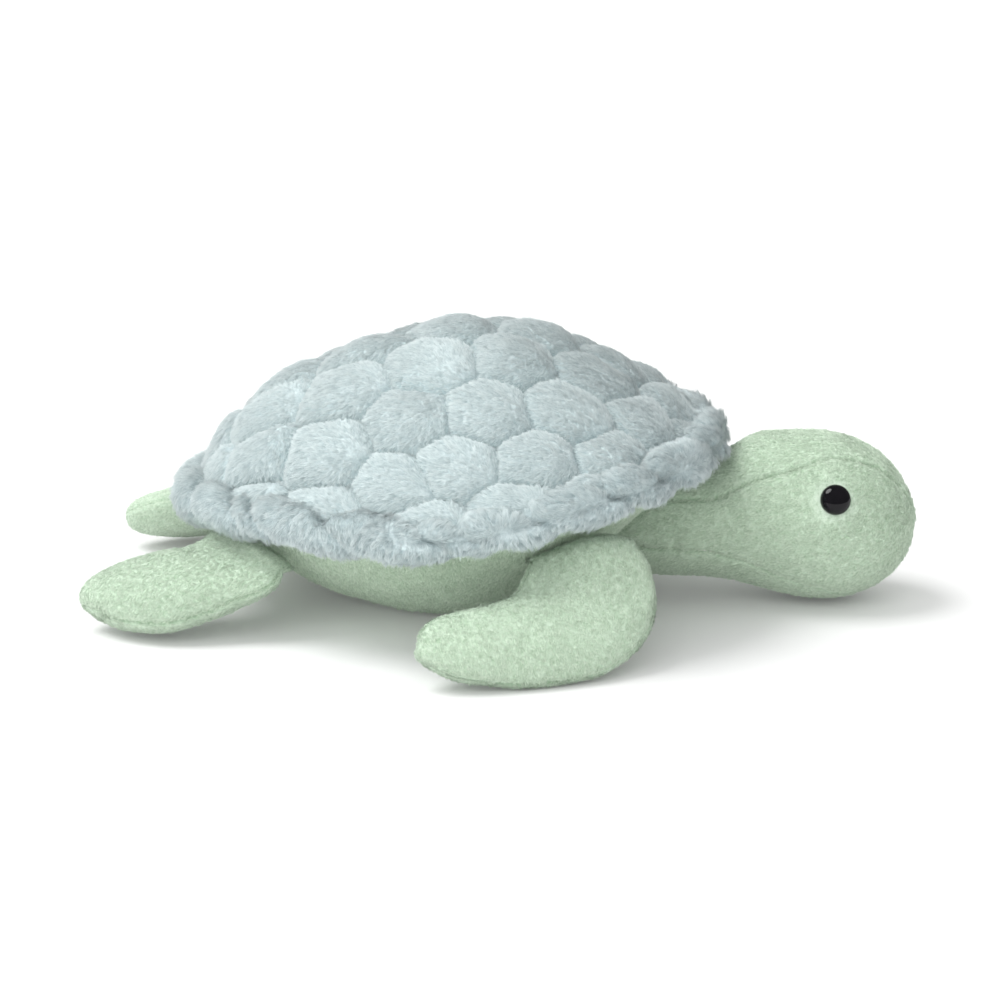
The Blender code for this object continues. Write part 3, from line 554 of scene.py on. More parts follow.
def blade_spot(sizes, frame_at, along, turn):
    """Point of a flipper: along runs from the rounded root (0) to the tip (1), turn round its section."""
    across = np.cos(turn)
    way = np.clip((along - root_share) / (1.0 - root_share), 0.0, 1.0)
    root_turn = np.clip(along / root_share, 0.0, 1.0) * np.pi / 2.0
    plan = blade_plan(sizes, way, across)
    plan[:, 1] -= root_radius * (1.0 + root_seat_share * (1.0 - across ** 2)) * np.cos(root_turn)
    swell = root_radius + (sizes["half_thickness"] - root_radius) * eased(way / swell_share)
    past = np.maximum(way - tip_start_share, 0.0) / (1.0 - tip_start_share)
    end = np.sqrt(np.maximum(1.0 - past ** 2, 0.0))
    height = swell * end * np.maximum(1.0 - np.abs(across) ** edge_flat_power, 0.0) ** edge_round_power
    height = height * np.sin(root_turn) * np.sign(np.sin(turn))
    shoulder = sizes["shoulder"] * eased((across + 0.7) / 1.1)
    shoulder *= 1.0 - eased(way / shoulder_end_share)
    shoulder *= eased(1.6 * np.sin(turn) + 0.1)
    lift = shoulder_out_share * frame_at[2] + (0.0, 0.0, shoulder_up_share)
    return (blade_mid(sizes, frame_at, plan) + height[:, None] * blade_normal(sizes, frame_at, plan)
            + shoulder[:, None] * lift)


def grid_normals(points):
    """Directions across a closed grid of points, columns wrapping round."""
    down = np.gradient(points, axis=0)
    sideways = np.roll(points, -1, axis=1) - np.roll(points, 1, axis=1)
    return unit(np.cross(down, sideways))


def add_object(name, data):
    thing = bpy.data.objects.new(name, data)
    bpy.context.collection.objects.link(thing)
    return thing


def make_mesh(name, points, faces, out, material, pile):
    """Smooth piece whose faces look the way of out, with its points, faces and directions at the points."""
    mesh = bpy.data.meshes.new(name)
    mesh.from_pydata(points.tolist(), [], faces)
    normals = np.empty(len(points) * 3, dtype=np.float32)
    mesh.vertex_normals.foreach_get("vector", normals)
    normals = normals.reshape(-1, 3)
    if (normals * out).sum() < 0.0:
        mesh.flip_normals()
        normals = -normals
    # pile: a tone per point, holding painted shade in seams and creases and painted light on the shell's
    # pillows
    attribute = mesh.attributes.new("pile", "FLOAT", "POINT")
    attribute.data.foreach_set("value", np.asarray(pile, dtype=np.float32))
    mesh.shade_smooth()
    mesh.materials.append(material)
    return add_object(name, mesh), points, faces, unit(out + normals)


def grid_faces(number):
    """Quads between the neighbours of a grid of point numbers."""
    quads = np.stack((number[:-1, :-1], number[1:, :-1], number[1:, 1:], number[:-1, 1:]), -1)
    return quads.reshape(-1, 4).tolist()


def tube_faces(rows, columns, ends):
    """Quads of a grid whose columns wrap round, with a fan at each closed end (ends: point numbers)."""
    number = np.arange(rows * columns).reshape(rows, columns)
    after = np.roll(number, -1, axis=1)
    quads = np.stack((number[:-1], after[:-1], after[1:], number[1:]), -1).reshape(-1, 4)
    faces = quads.tolist()
    low, high = ends
    if low is not None:
        faces += [[low, second, first] for first, second in zip(number[0], after[0])]
    if high is not None:
        faces += [[high, first, second] for first, second in zip(number[-1], after[-1])]
    return faces


def new_material(name):
    material = bpy.data.materials.new(name)
    material.use_nodes = True
    return material, material.node_tree


def feed(tree, node, inputs):
    """Fill a node's inputs, each with a value or a link from another node's output."""
    for name, value in inputs.items():
        if isinstance(value, bpy.types.NodeSocket):
            tree.links.new(value, node.inputs[name])
        else:
            node.inputs[name].default_value = value


def add_node(tree, kind, inputs=None):
    node = tree.nodes.new("ShaderNode" + kind)
    feed(tree, node, inputs or {})
    return node


def add_noise(tree, scale, detail, roughness):
    place = add_node(tree, "TexCoord").outputs["Object"]
    grain = {"Scale": scale, "Detail": detail, "Roughness": roughness, "Vector": place}
    return add_node(tree, "TexNoise", grain).outputs["Fac"]


def add_range(tree, value, low, high, to_low, to_high):
    return add_node(tree, "MapRange", {0: value, 1: low, 2: high, 3: to_low, 4: to_high}).outputs[0]


def add_mix(tree, factor, first, second):
    """Colour between two; each is a plain colour or another node's output."""
    node = add_node(tree, "Mix")
    node.data_type = "RGBA"
    first, second = ((*part, 1.0) if isinstance(part, tuple) else part for part in (first, second))
    feed(tree, node, {0: factor, 6: first, 7: second})
    return node.outputs[2]


def add_math(tree, operation, first, second):
    node = add_node(tree, "Math", {0: first, 1: second})
    node.operation = operation
    return node


def add_attribute(tree, name, output):
    node = add_node(tree, "Attribute")
    node.attribute_name = name
    return node.outputs[output]


def ray_kind(tree, kind):
    return add_node(tree, "LightPath").outputs[f"Is {kind} Ray"]


def plush_material(name, painted_shade_colour, light, blotch, speckle_scale=1000.0, bump_distance=0.0004):
    """Plush seen from above its pile: deep colour between the tufts as painted shade, light colour on their
    tips; the pile attribute adds painted shade in seams and creases and painted light on the shell's
    pillows.
    """
    material, tree = new_material(name)
    fine = add_noise(tree, speckle_scale, 3.0, 0.6)
    coarse = add_noise(tree, speckle_scale * 0.33, 2.0, 0.5)
    broad = add_noise(tree, 22.0, 2.0, 0.5)
    speck = add_range(tree, fine, 0.32, 0.68, -0.28, 0.28)
    tuft = add_range(tree, coarse, 0.3, 0.7, -0.18, 0.18)
    total = add_math(tree, "ADD", speck, tuft)
    # The pile attribute holds painted shade in seams and creases and painted light on the shell's pillows
    level = add_math(tree, "ADD", total.outputs[0], add_attribute(tree, "pile", "Fac"))
    level.use_clamp = True
    colour = add_mix(tree, level.outputs[0], painted_shade_colour, light)
    colour = add_mix(tree, add_range(tree, broad, 0.35, 0.65, 0.0, 0.35), colour, blotch)
    bump = add_node(tree, "Bump", {"Strength": 0.8, "Distance": bump_distance, "Height": fine})
    feed(tree, tree.nodes["Principled BSDF"], {
        "Base Color": colour, "Roughness": add_range(tree, fine, 0.3, 0.7, 0.82, 0.98),
        "Specular IOR Level": 0.2, "Sheen Weight": 0.35, "Sheen Roughness": 0.5, "Normal": bump.outputs[0]})
    return material


def pile_material(name, painted_shade_colour, light, even_share, tuft_contrast, clear_share=0.40):
    """Fibres, darker at the root with painted shade and paler at the tip; an even_share of their shading
    follows their cloth.

    They let a clear_share of the light through to what lies behind.
    """
    material, tree = new_material(name)
    hair = add_node(tree, "HairInfo")
    # Colour runs from painted shade at the root to the pale tip
    along = add_range(tree, hair.outputs["Intercept"], 0.0, 0.8, 0.0, 1.0)
    tuft = add_attribute(tree, "tuft", "Fac")
    level = add_math(tree, "ADD", along, add_range(tree, tuft, 0.0, 1.0, -tuft_contrast, 0.15))
    level.use_clamp = True
    colour = add_mix(tree, level.outputs[0], painted_shade_colour, light)
    vary = add_range(tree, hair.outputs["Random"], 0.0, 1.0, 0.0, 0.30)
    colour = add_mix(tree, vary, colour, tuple(min(1.0, part * 1.18) for part in light))
    facing = add_node(tree, "VectorTransform", {0: add_attribute(tree, "facing", "Vector")})
    facing.vector_type = "NORMAL"
    facing.convert_from = "OBJECT"
    facing.convert_to = "WORLD"
    blend = add_node(tree, "Mix")
    blend.data_type = "VECTOR"
    own_facing = add_node(tree, "NewGeometry").outputs["Normal"]
    feed(tree, blend, {0: even_share, 4: own_facing, 5: facing.outputs[0]})
    straight = add_node(tree, "VectorMath", {0: blend.outputs[1]})
    straight.operation = "NORMALIZE"
    shader = tree.nodes["Principled BSDF"]
    feed(tree, shader, {"Base Color": colour, "Roughness": 0.75, "Specular IOR Level": 0.15,
                        "Sheen Weight": 0.25, "Normal": straight.outputs[0]})
    see_through = add_range(tree, ray_kind(tree, "Shadow"), 0.0, 1.0, 0.0, clear_share)
    clear = add_node(tree, "BsdfTransparent").outputs[0]
    thin = add_node(tree, "MixShader", {0: see_through, 1: shader.outputs[0], 2: clear})
    feed(tree, tree.nodes["Material Output"], {"Surface": thin.outputs[0]})
    return material


shell_base = plush_material("shell_plush", (0.37, 0.47, 0.49), (0.68, 0.77, 0.775), (0.56, 0.66, 0.67),
                            speckle_scale=900.0, bump_distance=0.0006)
mint_base = plush_material("mint_plush", (0.29, 0.42, 0.28), (0.63, 0.76, 0.62), (0.51, 0.645, 0.50))
# A lighter copy of the mint plush: painted light on the belly, which lies in shade under the shell
belly_base_painted_light = plush_material("belly_plush_painted_light", (0.31, 0.46, 0.30), (0.64, 0.79, 0.62), (0.53, 0.68, 0.51))
shell_fibre = pile_material("shell_fibre", (0.38, 0.49, 0.505), (0.755, 0.845, 0.845),
                            even_share=0.8, tuft_contrast=0.33)
# A darker copy of the shell's fibres: painted shade on the rim
rim_fibre_painted_shade = pile_material("rim_fibre_painted_shade", (0.335, 0.445, 0.465), (0.735, 0.825, 0.825),
                          even_share=0.8, tuft_contrast=0.38, clear_share=0.38)
mint_fibre = pile_material("mint_fibre", (0.31, 0.45, 0.30), (0.75, 0.885, 0.725),
                           even_share=0.5, tuft_contrast=0.38)
# A lighter copy of the mint fibres: painted light on the belly
belly_fibre_painted_light = pile_material("belly_fibre_painted_light", (0.35, 0.53, 0.34), (0.82, 0.98, 0.79),
                            even_share=0.5, tuft_contrast=0.4)


def lay_pile(name, parent, roots, normals, lay, lengths, leader_count, kind):
    """Strands from roots: they leave at a slant between normal and lay, bow over, and gather in tufts."""
    count = len(roots)
    leaders = rng.choice(count, min(leader_count, count), replace=False)
    stray = np.full(count, 0.7 * kind["spread"])
    stray[leaders] = 1.5 * kind["spread"]
    start = unit(normals * kind["stand"] + lay * (1.0 - kind["stand"])
                 + stray[:, None] * rng.normal(size=(count, 3)))
    tree = KDTree(len(leaders))
    for number, leader in enumerate(leaders):
        tree.insert(Vector(roots[leader]), number)
    tree.balance()
    owner = leaders[np.array([tree.find(Vector(root))[1] for root in roots])]
    travel = np.linspace(0.0, 1.0, kind["steps"])
    droop = unit(lay - 0.25 * normals)

    def strand(which):
        reach = lengths[which][:, None, None] * travel[None, :, None]
        bow = lengths[which][:, None, None] * (travel[None, :, None] ** 2) * 0.45
        return (roots[which][:, None, :] + reach * 0.75 * start[which][:, None, :]
                + bow * droop[which][:, None, :])

    own = strand(np.arange(count))
    led = strand(owner)
    pull = kind["clump_pull"] * travel[None, :, None] ** 1.4 * rng.uniform(0.4, 1.0, count)[:, None, None]
    points = own + (led - own) * pull
    curves = bpy.data.hair_curves.new(name)
    curves.add_curves([kind["steps"]] * count)
    curves.attributes["position"].data.foreach_set("vector", points.astype(np.float32).ravel())
    thickness = kind["radius"] * (1.0 - 0.75 * travel ** 1.5)
    radii = curves.attributes.get("radius") or curves.attributes.new("radius", "FLOAT", "POINT")
    radii.data.foreach_set("value", np.tile(thickness, count).astype(np.float32))
    tuft = curves.attributes.new("tuft", "FLOAT", "CURVE")
    tuft.data.foreach_set("value", rng.uniform(size=count)[owner].astype(np.float32))
    facing = curves.attributes.new("facing", "FLOAT_VECTOR", "CURVE")
    facing.data.foreach_set("vector", normals.astype(np.float32).ravel())
    curves.materials.append(kind["material"])
    add_object(name, curves).parent = parent


def spread_over(points, faces, count):
    """Random places on a mesh, even by area: corners of a triangle, their weights, and the whole area."""
    tris = np.array(faces)
    a, b, c = (points[tris[:, index]] for index in range(3))
    area = length_of(np.cross(b - a, c - a))
    chosen = rng.choice(len(tris), count, p=area / area.sum())
    first = np.sqrt(rng.uniform(size=count))
    second = rng.uniform(size=count)
    weights = np.column_stack((1.0 - first, first * (1.0 - second), first * second))
    return tris[chosen], weights, area.sum() / 2.0


def triangles(faces):
    """Faces cut into triangles that meet at each face's first point."""
    return [(face[0], *pair) for face in faces for pair in zip(face[1:], face[2:])]


def blend_corners(values, corners, weights):
    return (values[corners] * weights[:, :, None]).sum(1)


pile_root_depth = 0.0003


def grow(name, cover, lay, kind, keep=None, length_share=None):
    """Cover a piece with pile of a kind; keep and length_share are per point, from 0 to 1."""
    piece, points, faces, normals = cover
    corners, weights, area = spread_over(points, triangles(faces), kind["count"])
    if keep is not None:
        share = (keep[corners] * weights).sum(1)
        stay = rng.uniform(size=len(corners)) < share
        corners = corners[stay]
        weights = weights[stay]
    lengths = kind["length"] * rng.uniform(0.65, 1.12, len(corners))
    if length_share is not None:
        lengths = lengths * (length_share[corners] * weights).sum(1)
    roots = blend_corners(points, corners, weights)
    normal = unit(blend_corners(normals, corners, weights))
    flow = blend_corners(lay, corners, weights)
    flow = unit(flow - (flow * normal).sum(1)[:, None] * normal)
    leader_count = int(area / kind["clump_size"] ** 2)
    lay_pile(name, piece, roots - pile_root_depth * normal, normal, flow, lengths, leader_count, kind)


# Shell
shell_cells = 300
axis = np.linspace(-1.0, 1.0, shell_cells + 1)
square_x, square_y = np.meshgrid(axis, axis, indexing="ij")
disc_x = square_x * np.sqrt(1.0 - square_y ** 2 / 2.0)
disc_y = square_y * np.sqrt(1.0 - square_x ** 2 / 2.0)
flat = np.stack((disc_x, disc_y), -1).reshape(-1, 2)
base = dome_spot(flat, 0.0)
out = dome_normal(flat)
# The shell's tone holds painted shade in the seams and painted light on the pillows
relief, shell_tone_and_painted_shade = shell_relief(flat, base)
cover_depth = ((base - dome_spot(flat, quilt_thickness)) * out).sum(1)
relief = np.maximum(relief, shell_least - cover_depth)
points = base + relief[:, None] * out
at_edge = length_of(flat) > 0.999
points[at_edge, :2] += shell_hem_out * unit(out[at_edge, :2])
points[at_edge, 2] -= shell_hem
faces = grid_faces(np.arange(len(points)).reshape(shell_cells + 1, -1))
shell_cover = make_mesh("quilted_shell", points, faces, out, shell_base, shell_tone_and_painted_shade)
shell = shell_cover[0]
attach(shell, "torso")
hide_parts("carapace_quilt")
shell_flow, shell_edge = shell_lay(flat)

# Rim roll
rim_rows = 800
rim_columns = 72
rim_step = 0.001
rim_turn_step = 0.05
rim_angle_step = 0.01
rim_drift_size = 0.016
angle, turn = grid_round(steps_round(rim_rows), rim_columns)
base = rim_place(angle, turn, 0.0)
height, rim_tone_and_painted_shade = rim_relief(angle, turn, base)
points = rim_place(angle, turn, height)
numbers = np.arange(len(points)).reshape(rim_rows, rim_columns)
faces = grid_faces(np.pad(numbers, (0, 1), "wrap"))
out = unit(rim_place(angle, turn, rim_step) - base)
rim_cover = make_mesh("rim_roll", points, faces, out, shell_base, rim_tone_and_painted_shade)
rim = rim_cover[0]
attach(rim, "torso")
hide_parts("carapace_rim")
rim_down = unit(rim_place(angle, turn - rim_turn_step, 0.0) - base)
rim_along = unit(rim_place(angle + rim_angle_step, turn, 0.0) - base)
above_groove = eased((turn - 0.1) / 0.3) * (turn < np.pi)
rim_away = 1.0 - 1.5 * front_facing(angle) * above_groove
rim_drift = 1.5 * noise(base, rim_drift_size, 31) - 0.2
rim_flow = rim_away[:, None] * rim_down + rim_drift[:, None] * rim_along

# Belly
belly_rows = 120
belly_columns = 320
belly_hem = 0.0080
belly_lump = 0.0008
belly_lump_size = 0.014
belly_weave = 0.0003
belly_weave_sizes = (0.0018, 0.0010)
belly_sink = 0.0012
belly_rest_height = 0.006
share, angle = grid_round(np.linspace(0.02, 1.0, belly_rows), belly_columns)
base = belly_spot(angle, share)
out = grid_normals(base.reshape(belly_rows, belly_columns, 3)).reshape(-1, 3)
inner_spot = (shell_centre_x, 0.0, 0.05)
out *= np.where((out * (base - inner_spot)).sum(1) < 0.0, -1.0, 1.0)[:, None]
lump = noise(base, belly_lump_size, 41)
weave = fine_noise(base, belly_weave_sizes, 42)
rest = eased(base[:, 2] / belly_rest_height)
height = (belly_lump * lump + belly_weave * weave) * rest - belly_sink * rest
points = base + height[:, None] * out
points[-belly_columns:, 2] += belly_hem
points = np.vstack((points, [(shell_centre_x, 0.0, 0.0)]))
faces = tube_faces(belly_rows, belly_columns, (len(points) - 1, None))
out = np.vstack((out, [(0.0, 0.0, -1.0)]))
belly_share = np.append(np.clip(0.5 + 0.4 * weave, 0.0, 1.0), 0.5)
belly_cover = make_mesh("belly", points, faces, out, belly_base_painted_light, belly_share)
belly = belly_cover[0]
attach(belly, "torso")
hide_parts("belly_cover")

# Head
head_rows = 300
head_columns = 240
cloth_weave_sizes = (0.0017, 0.0009)
head_weave = 0.0003
head_lump = 0.0005
head_lump_size = 0.016
head_sink = 0.0006
head_seam = 0.0011
head_seam_growth = 0.0006
head_seam_reach = 0.0011
eye_ring_radius = 0.0075
eye_ring_reach = 0.0035
eye_ring_depth = 0.0004
pucker_share = 0.304
pucker_degrees = 58.0
pucker_reach = 0.0035
pucker_depth = 0.0014
fold_from_neck = 0.0185
fold_bow = 0.012
fold_start = 1.45
fold_middle = 1.9
fold_end = 2.05
fold_reach = 0.0020
fold_depth = 0.0009
lip_ahead = 0.0045
lip_reach = 0.0026
lip_height = 0.0005
crown_puff = 0.0016
crown_puff_run = 0.035
turn, angle = grid_round(np.linspace(0.02, 0.9985, head_rows), head_columns)
base = head_spot(turn, angle)
out = head_normal(turn, angle)
travel = head_travel(turn)
travel_share = np.clip(travel / head_length, 0.0, 1.0)
radius = np.maximum(head_section(travel)[1], 0.001)
folded = np.minimum(angle, 2.0 * np.pi - angle)
seam = np.zeros(len(turn))
for table in (crown_seam_degrees, chin_seam_degrees):
    seam_at = np.radians(np.interp(travel_share, table[0], table[1]))
    seam = np.maximum(seam, np.exp(-((folded - seam_at) * radius / head_seam_reach) ** 2))
lump = noise(base, head_lump_size, 51)
weave = fine_noise(base, cloth_weave_sizes, 52)
eye_spots = {}
for side in (1.0, -1.0):
    at = head_place(eye_from_neck, side * eye_angle_degrees)
    eye_spots[side] = (head_spot(*at)[0], head_normal(*at)[0])
eye_near = np.minimum(*[length_of(base - spot) for spot, _ in eye_spots.values()])
eye_press = np.exp(-(np.maximum(eye_near - eye_ring_radius, 0.0) / eye_ring_reach) ** 2)
pucker_spot = head_spot(*head_place(pucker_share * head_length, pucker_degrees))[0]
pucker_near = np.minimum(length_of(base - pucker_spot), length_of(base * (1.0, -1.0, 1.0) - pucker_spot))
pucker = np.exp(-(pucker_near / pucker_reach) ** 2)
fold_window = eased((folded - fold_start) / 0.30) * eased((fold_end - folded) / 0.15)
fold_at = fold_from_neck + fold_bow * (folded - fold_middle) ** 2
fold = fold_window * np.exp(-((travel - fold_at) / fold_reach) ** 2)
lip = fold_window * np.exp(-((travel - fold_at - lip_ahead) / lip_reach) ** 2)
height = (head_lump * lump + head_weave * weave * (1.0 - eye_press)
          - (head_seam + head_seam_growth * travel_share) * seam - head_sink
          - eye_ring_depth * eye_press - pucker_depth * pucker - fold_depth * fold + lip_height * lip)
crown_share = eased((travel - crown_puff_run) / crown_puff_run)
height += crown_puff * np.maximum(np.cos(angle), 0.0) ** 2 * crown_share
points = base + height[:, None] * out
head_ends = head_spot(np.array([0.0001, 1.0]), np.zeros(2))
points = np.vstack((points, head_ends))
faces = tube_faces(head_rows, head_columns, (len(points) - 2, len(points) - 1))
# Tone of the head's colour: painted shade in the seams, paler round the eyes where the pile is pressed flat
head_tone_and_painted_shade = np.append(np.clip(0.5 + 0.4 * weave - 0.5 * seam + 0.3 * eye_press, 0.0, 1.0), (0.5, 0.5))
out = np.vstack((out, [(-1.0, 0.0, 0.0), (1.0, 0.0, 0.0)]))
head_cover = make_mesh("head_cover", points, faces, out, mint_base, head_tone_and_painted_shade)
head = head_cover[0]
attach(head, "head")
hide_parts("head_crown_gusset", "head_side_left", "head_side_right", "head_chin_gusset")

# Eyes
eye_steps = 20
eye_segments = 72
eye_plastic, eye_tree = new_material("eye_plastic")
eye_noise = add_noise(eye_tree, 260.0, 3.0, 0.5)
eye_level = add_range(eye_tree, eye_noise, 0.3, 0.7, 0.0, 1.0)
feed(eye_tree, eye_tree.nodes["Principled BSDF"], {
    "Base Color": add_mix(eye_tree, eye_level, (0.004, 0.004, 0.005), (0.007, 0.006, 0.008)),
    "Roughness": add_range(eye_tree, eye_noise, 0.3, 0.7, 0.05, 0.14),
    "Coat Weight": 0.12, "Coat Roughness": 0.03, "Specular IOR Level": 0.22})


def eye_dome(name, profile, place, direction):
    """Eye mesh: (radius, height) points turned about an axis that the first and last of them lie on."""
    rings = np.array(profile[1:-1])
    step = steps_round(eye_segments)
    helper = unit(np.cross(direction, (0.0, 0.0, 1.0)))
    other = np.cross(direction, helper)
    ring = np.cos(step)[:, None] * helper + np.sin(step)[:, None] * other
    points = (place + rings[:, None, :1] * ring[None] + rings[:, None, 1:] * direction).reshape(-1, 3)
    low = place + profile[0][1] * direction
    high = place + profile[-1][1] * direction
    points = np.vstack((points, low, high))
    faces = tube_faces(len(rings), eye_segments, (len(points) - 2, len(points) - 1))
    out = points - (low + high) / 2.0
    return make_mesh(name, points, faces, out, eye_plastic, np.full(len(points), 0.5))[0]


eye_seat = 0.0003
eye_edge_share = 0.96
eye_edge_low = 0.0002
eye_edge_high = 0.0004
for word, side in (("left", 1.0), ("right", -1.0)):
    place, direction = eye_spots[side]
    radius = eye_diameter / 2.0
    stem = eye_stem_diameter / 2.0
    profile = [(0.0, -eye_stem_length), (stem, -eye_stem_length), (stem, -eye_seat),
               (radius * eye_edge_share, -eye_edge_low), (radius, eye_edge_high)]
    for step in range(eye_steps):
        quarter = math.pi / 2.0 * step / eye_steps
        profile.append((radius * math.cos(quarter), eye_back_thickness + eye_height * math.sin(quarter)))
    profile.append((0.0, eye_back_thickness + eye_height))
    eye = eye_dome(f"eye_dome_{word}", profile, place, direction)
    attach(eye, "head")
    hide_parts(f"eye_{word}")

# Flippers
flipper_lump = 0.0005
flipper_lump_size = 0.013
flipper_weave = 0.00028
flipper_sink = 0.0006
flipper_seam = 0.0009
seam_level_share = 0.24
seam_reach_share = 0.09
flipper_covers = []
for end_word, sizes, rows, columns in (("front", front, 220, 132), ("rear", rear, 190, 128)):
    frame_at = root_frame(sizes)
    along, turn = grid_round(np.linspace(0.01, 0.998, rows), columns)
    left_base = blade_spot(sizes, frame_at, along, turn)
    out = grid_normals(left_base.reshape(rows, columns, 3)).reshape(-1, 3)
    centre = blade_mid(sizes, frame_at, blade_plan(sizes, np.clip(along, 0.05, 0.9), 0.0 * turn))
    if (out * (left_base - centre)).sum() < 0.0:
        out = -out
    seam = np.exp(-((np.sin(turn) - seam_level_share) / seam_reach_share) ** 2)
    for side_word, side in (("left", 1.0), ("right", -1.0)):
        mirror = np.array((1.0, side, 1.0))
        base = left_base * mirror
        normal = out * mirror
        lump = noise(base, flipper_lump_size, 61)
        weave = fine_noise(base, cloth_weave_sizes, 62)
        height = flipper_lump * lump + flipper_weave * weave - flipper_seam * seam - flipper_sink
        points = base + height[:, None] * normal
        points = np.vstack((points, points[:columns].mean(0), points[-columns:].mean(0)))
        faces = tube_faces(rows, columns, (len(points) - 2, len(points) - 1))
        # Tone of the flipper's colour, darker in the seam as painted shade
        flipper_tone_and_painted_shade = np.append(np.clip(0.5 + 0.4 * weave - 0.45 * seam, 0.0, 1.0), (0.5, 0.5))
        word = f"{end_word}_{side_word}_flipper"
        normal = np.vstack((normal, normal[:columns].mean(0), normal[-columns:].mean(0)))
        cover = make_mesh(f"{word}_cover", points, faces, normal, mint_base, flipper_tone_and_painted_shade)
        piece = cover[0]
        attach(piece, word)
        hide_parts(f"{word}_top", f"{word}_bottom")
        flipper_covers.append((word, cover, frame_at[2] * mirror))

# Pile
down = np.array((0.0, 0.0, -1.0))
backward = np.array((-1.0, 0.0, -0.35))
ruffle_size = 0.006
bald_height = 0.0015
bald_fade = 0.003
eye_clearing = 0.0072
shell_short_reach = 0.003


def ruffled(points, way, amount, seed):
    """One way over all points, disturbed by lumps."""
    stir = np.column_stack([noise(points, ruffle_size, seed + index) for index in range(3)])
    return way + amount * stir


shell_kind = {"material": shell_fibre, "count": 260000, "length": shell_pile, "stand": 0.50, "spread": 0.20,
              "clump_size": 0.0014, "clump_pull": 0.65, "radius": 0.00008, "steps": 6}
rim_kind = {**shell_kind, "material": rim_fibre_painted_shade, "count": 170000, "length": rim_pile, "spread": 0.30,
            "clump_size": 0.0017, "clump_pull": 0.72}
head_kind = {"material": mint_fibre, "count": 260000, "length": body_pile, "stand": 0.40, "spread": 0.35,
             "clump_size": 0.0009, "clump_pull": 0.88, "radius": 0.00007, "steps": 4}
belly_kind = {**head_kind, "material": belly_fibre_painted_light, "count": 280000}
flipper_kind = {**head_kind, "count": 140000, "length": flipper_pile, "stand": 0.34, "spread": 0.30,
                "clump_pull": 0.70}
grow("shell_strands", shell_cover, shell_flow, shell_kind,
     length_share=np.clip(shell_edge / shell_short_reach, 0.6, 1.0))
grow("rim_strands", rim_cover, rim_flow, rim_kind)
grow("belly_strands", belly_cover, ruffled(belly_cover[1], down, 0.5, 70), belly_kind,
     keep=np.clip((belly_cover[1][:, 2] - bald_height) / bald_fade, 0.0, 1.0))
grow("head_strands", head_cover, ruffled(head_cover[1], backward, 0.5, 73), head_kind,
     keep=np.where(np.append(eye_near, (1.0, 1.0)) < eye_clearing, 0.0, 1.0),
     length_share=1.0 - 0.6 * np.append(eye_press, (0.0, 0.0)))
for word, cover, outward in flipper_covers:
    grow(f"{word}_strands", cover, ruffled(cover[1], outward + 0.4 * down, 0.4, 76), flipper_kind)


def inner_material(name, colour, shade, scale, roughness):
    """Matt stuff of a hidden piece, in two near tones."""
    material, tree = new_material(name)
    grain = add_noise(tree, scale, 4.0, 0.6)
    feed(tree, tree.nodes["Principled BSDF"], {
        "Base Color": add_mix(tree, add_range(tree, grain, 0.3, 0.7, 0.0, 1.0), colour, shade),
        "Roughness": add_range(tree, grain, 0.3, 0.7, roughness - 0.1, roughness)})
    return material


# Hidden pieces
inner = {
    "backing": inner_material("lining_cloth", (0.80, 0.80, 0.77), (0.88, 0.88, 0.85), 1500.0, 0.95),
    "stuffing": inner_material("fibre_filling", (0.88, 0.88, 0.86), (0.95, 0.95, 0.93), 500.0, 1.0),
    "washer": inner_material("washer_plastic", (0.80, 0.81, 0.81), (0.86, 0.87, 0.87), 300.0, 0.5),
}
for name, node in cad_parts.items():
    for word, material in inner.items():
        if word in name:
            for place in node.material_slots:
                place.material = material

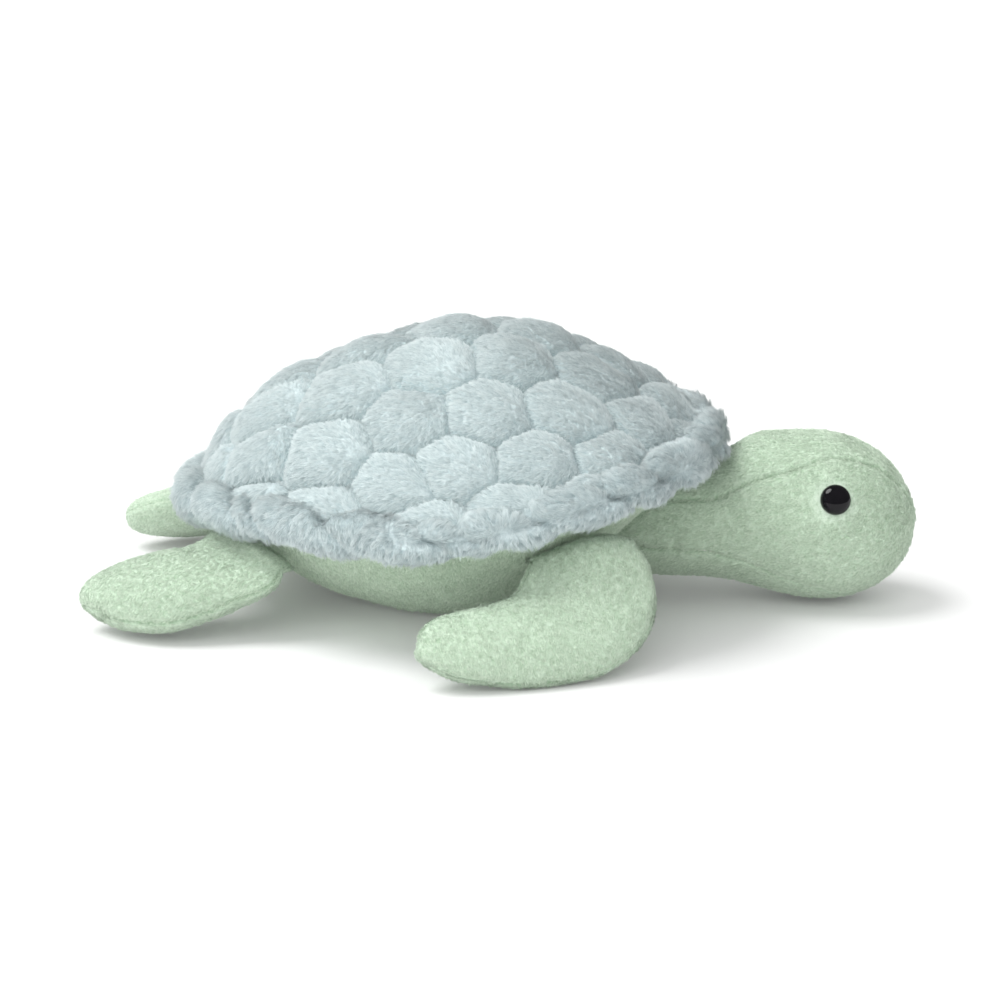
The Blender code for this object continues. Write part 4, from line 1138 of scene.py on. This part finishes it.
# Floor
floor_reach = 9.0
floor_mesh = bpy.data.meshes.new("floor")
corners = [(floor_reach * x, floor_reach * y, 0.0) for x, y in ((-1, -1), (1, -1), (1, 1), (-1, 1))]
floor_mesh.from_pydata(corners, [], [(0, 1, 2, 3)])
floor = add_object("floor", floor_mesh)
paper, paper_tree = new_material("paper_floor")
paper_noise = add_noise(paper_tree, 3.0, 2.0, 0.5)
feed(paper_tree, paper_tree.nodes["Principled BSDF"], {
    "Base Color": add_mix(paper_tree, paper_noise, (0.80, 0.80, 0.80), (0.81, 0.81, 0.81)),
    "Roughness": 0.9, "Specular IOR Level": 0.0, "Emission Color": (1.0, 1.0, 1.0, 1.0),
    "Emission Strength": add_range(paper_tree, ray_kind(paper_tree, "Camera"), 0.0, 1.0, 0.0, 0.06)})
floor_mesh.materials.append(paper)

# Lights
world = bpy.context.scene.world or bpy.data.worlds.new("world")
bpy.context.scene.world = world
world.use_nodes = True
world_tree = world.node_tree
bright = add_range(world_tree, ray_kind(world_tree, "Camera"), 0.0, 1.0, 0.73, 1.0)
less = add_range(world_tree, ray_kind(world_tree, "Glossy"), 0.0, 1.0, 0.0, 0.55)
feed(world_tree, world_tree.nodes["Background"], {
    "Color": (1.0, 1.0, 1.0, 1.0), "Strength": add_math(world_tree, "SUBTRACT", bright, less).outputs[0]})


def add_sun(name, energy, degrees, direction):
    light = bpy.data.lights.new(name, "SUN")
    light.energy = energy
    light.angle = math.radians(degrees)
    sun = add_object(name, light)
    sun.rotation_euler = Vector(direction).to_track_quat("-Z", "Y").to_euler()
    return sun


add_sun("key", 2.0, 34.0, (0.60, -0.02, -1.0))
fill = add_sun("fill", 1.45, 70.0, (0.35, 1.0, -0.38))
fill.visible_glossy = False

# Camera
azimuth = math.radians(3.0)
elevation = math.radians(16.0)
camera_distance = 1.6
camera_aim = Vector((0.0, 0.0, 0.0452))
camera_data = bpy.data.cameras.new("camera")
camera_data.lens = 123.44
camera_data.sensor_width = 36.0
camera = add_object("camera", camera_data)
back = Vector((math.sin(azimuth) * math.cos(elevation), -math.cos(azimuth) * math.cos(elevation),
               math.sin(elevation)))
camera.location = camera_aim + camera_distance * back
camera.rotation_euler = (-back).to_track_quat("-Z", "Y").to_euler()
bpy.context.scene.camera = camera
bpy.context.scene.view_settings.view_transform = "Standard"

bpy.context.view_layer.update()
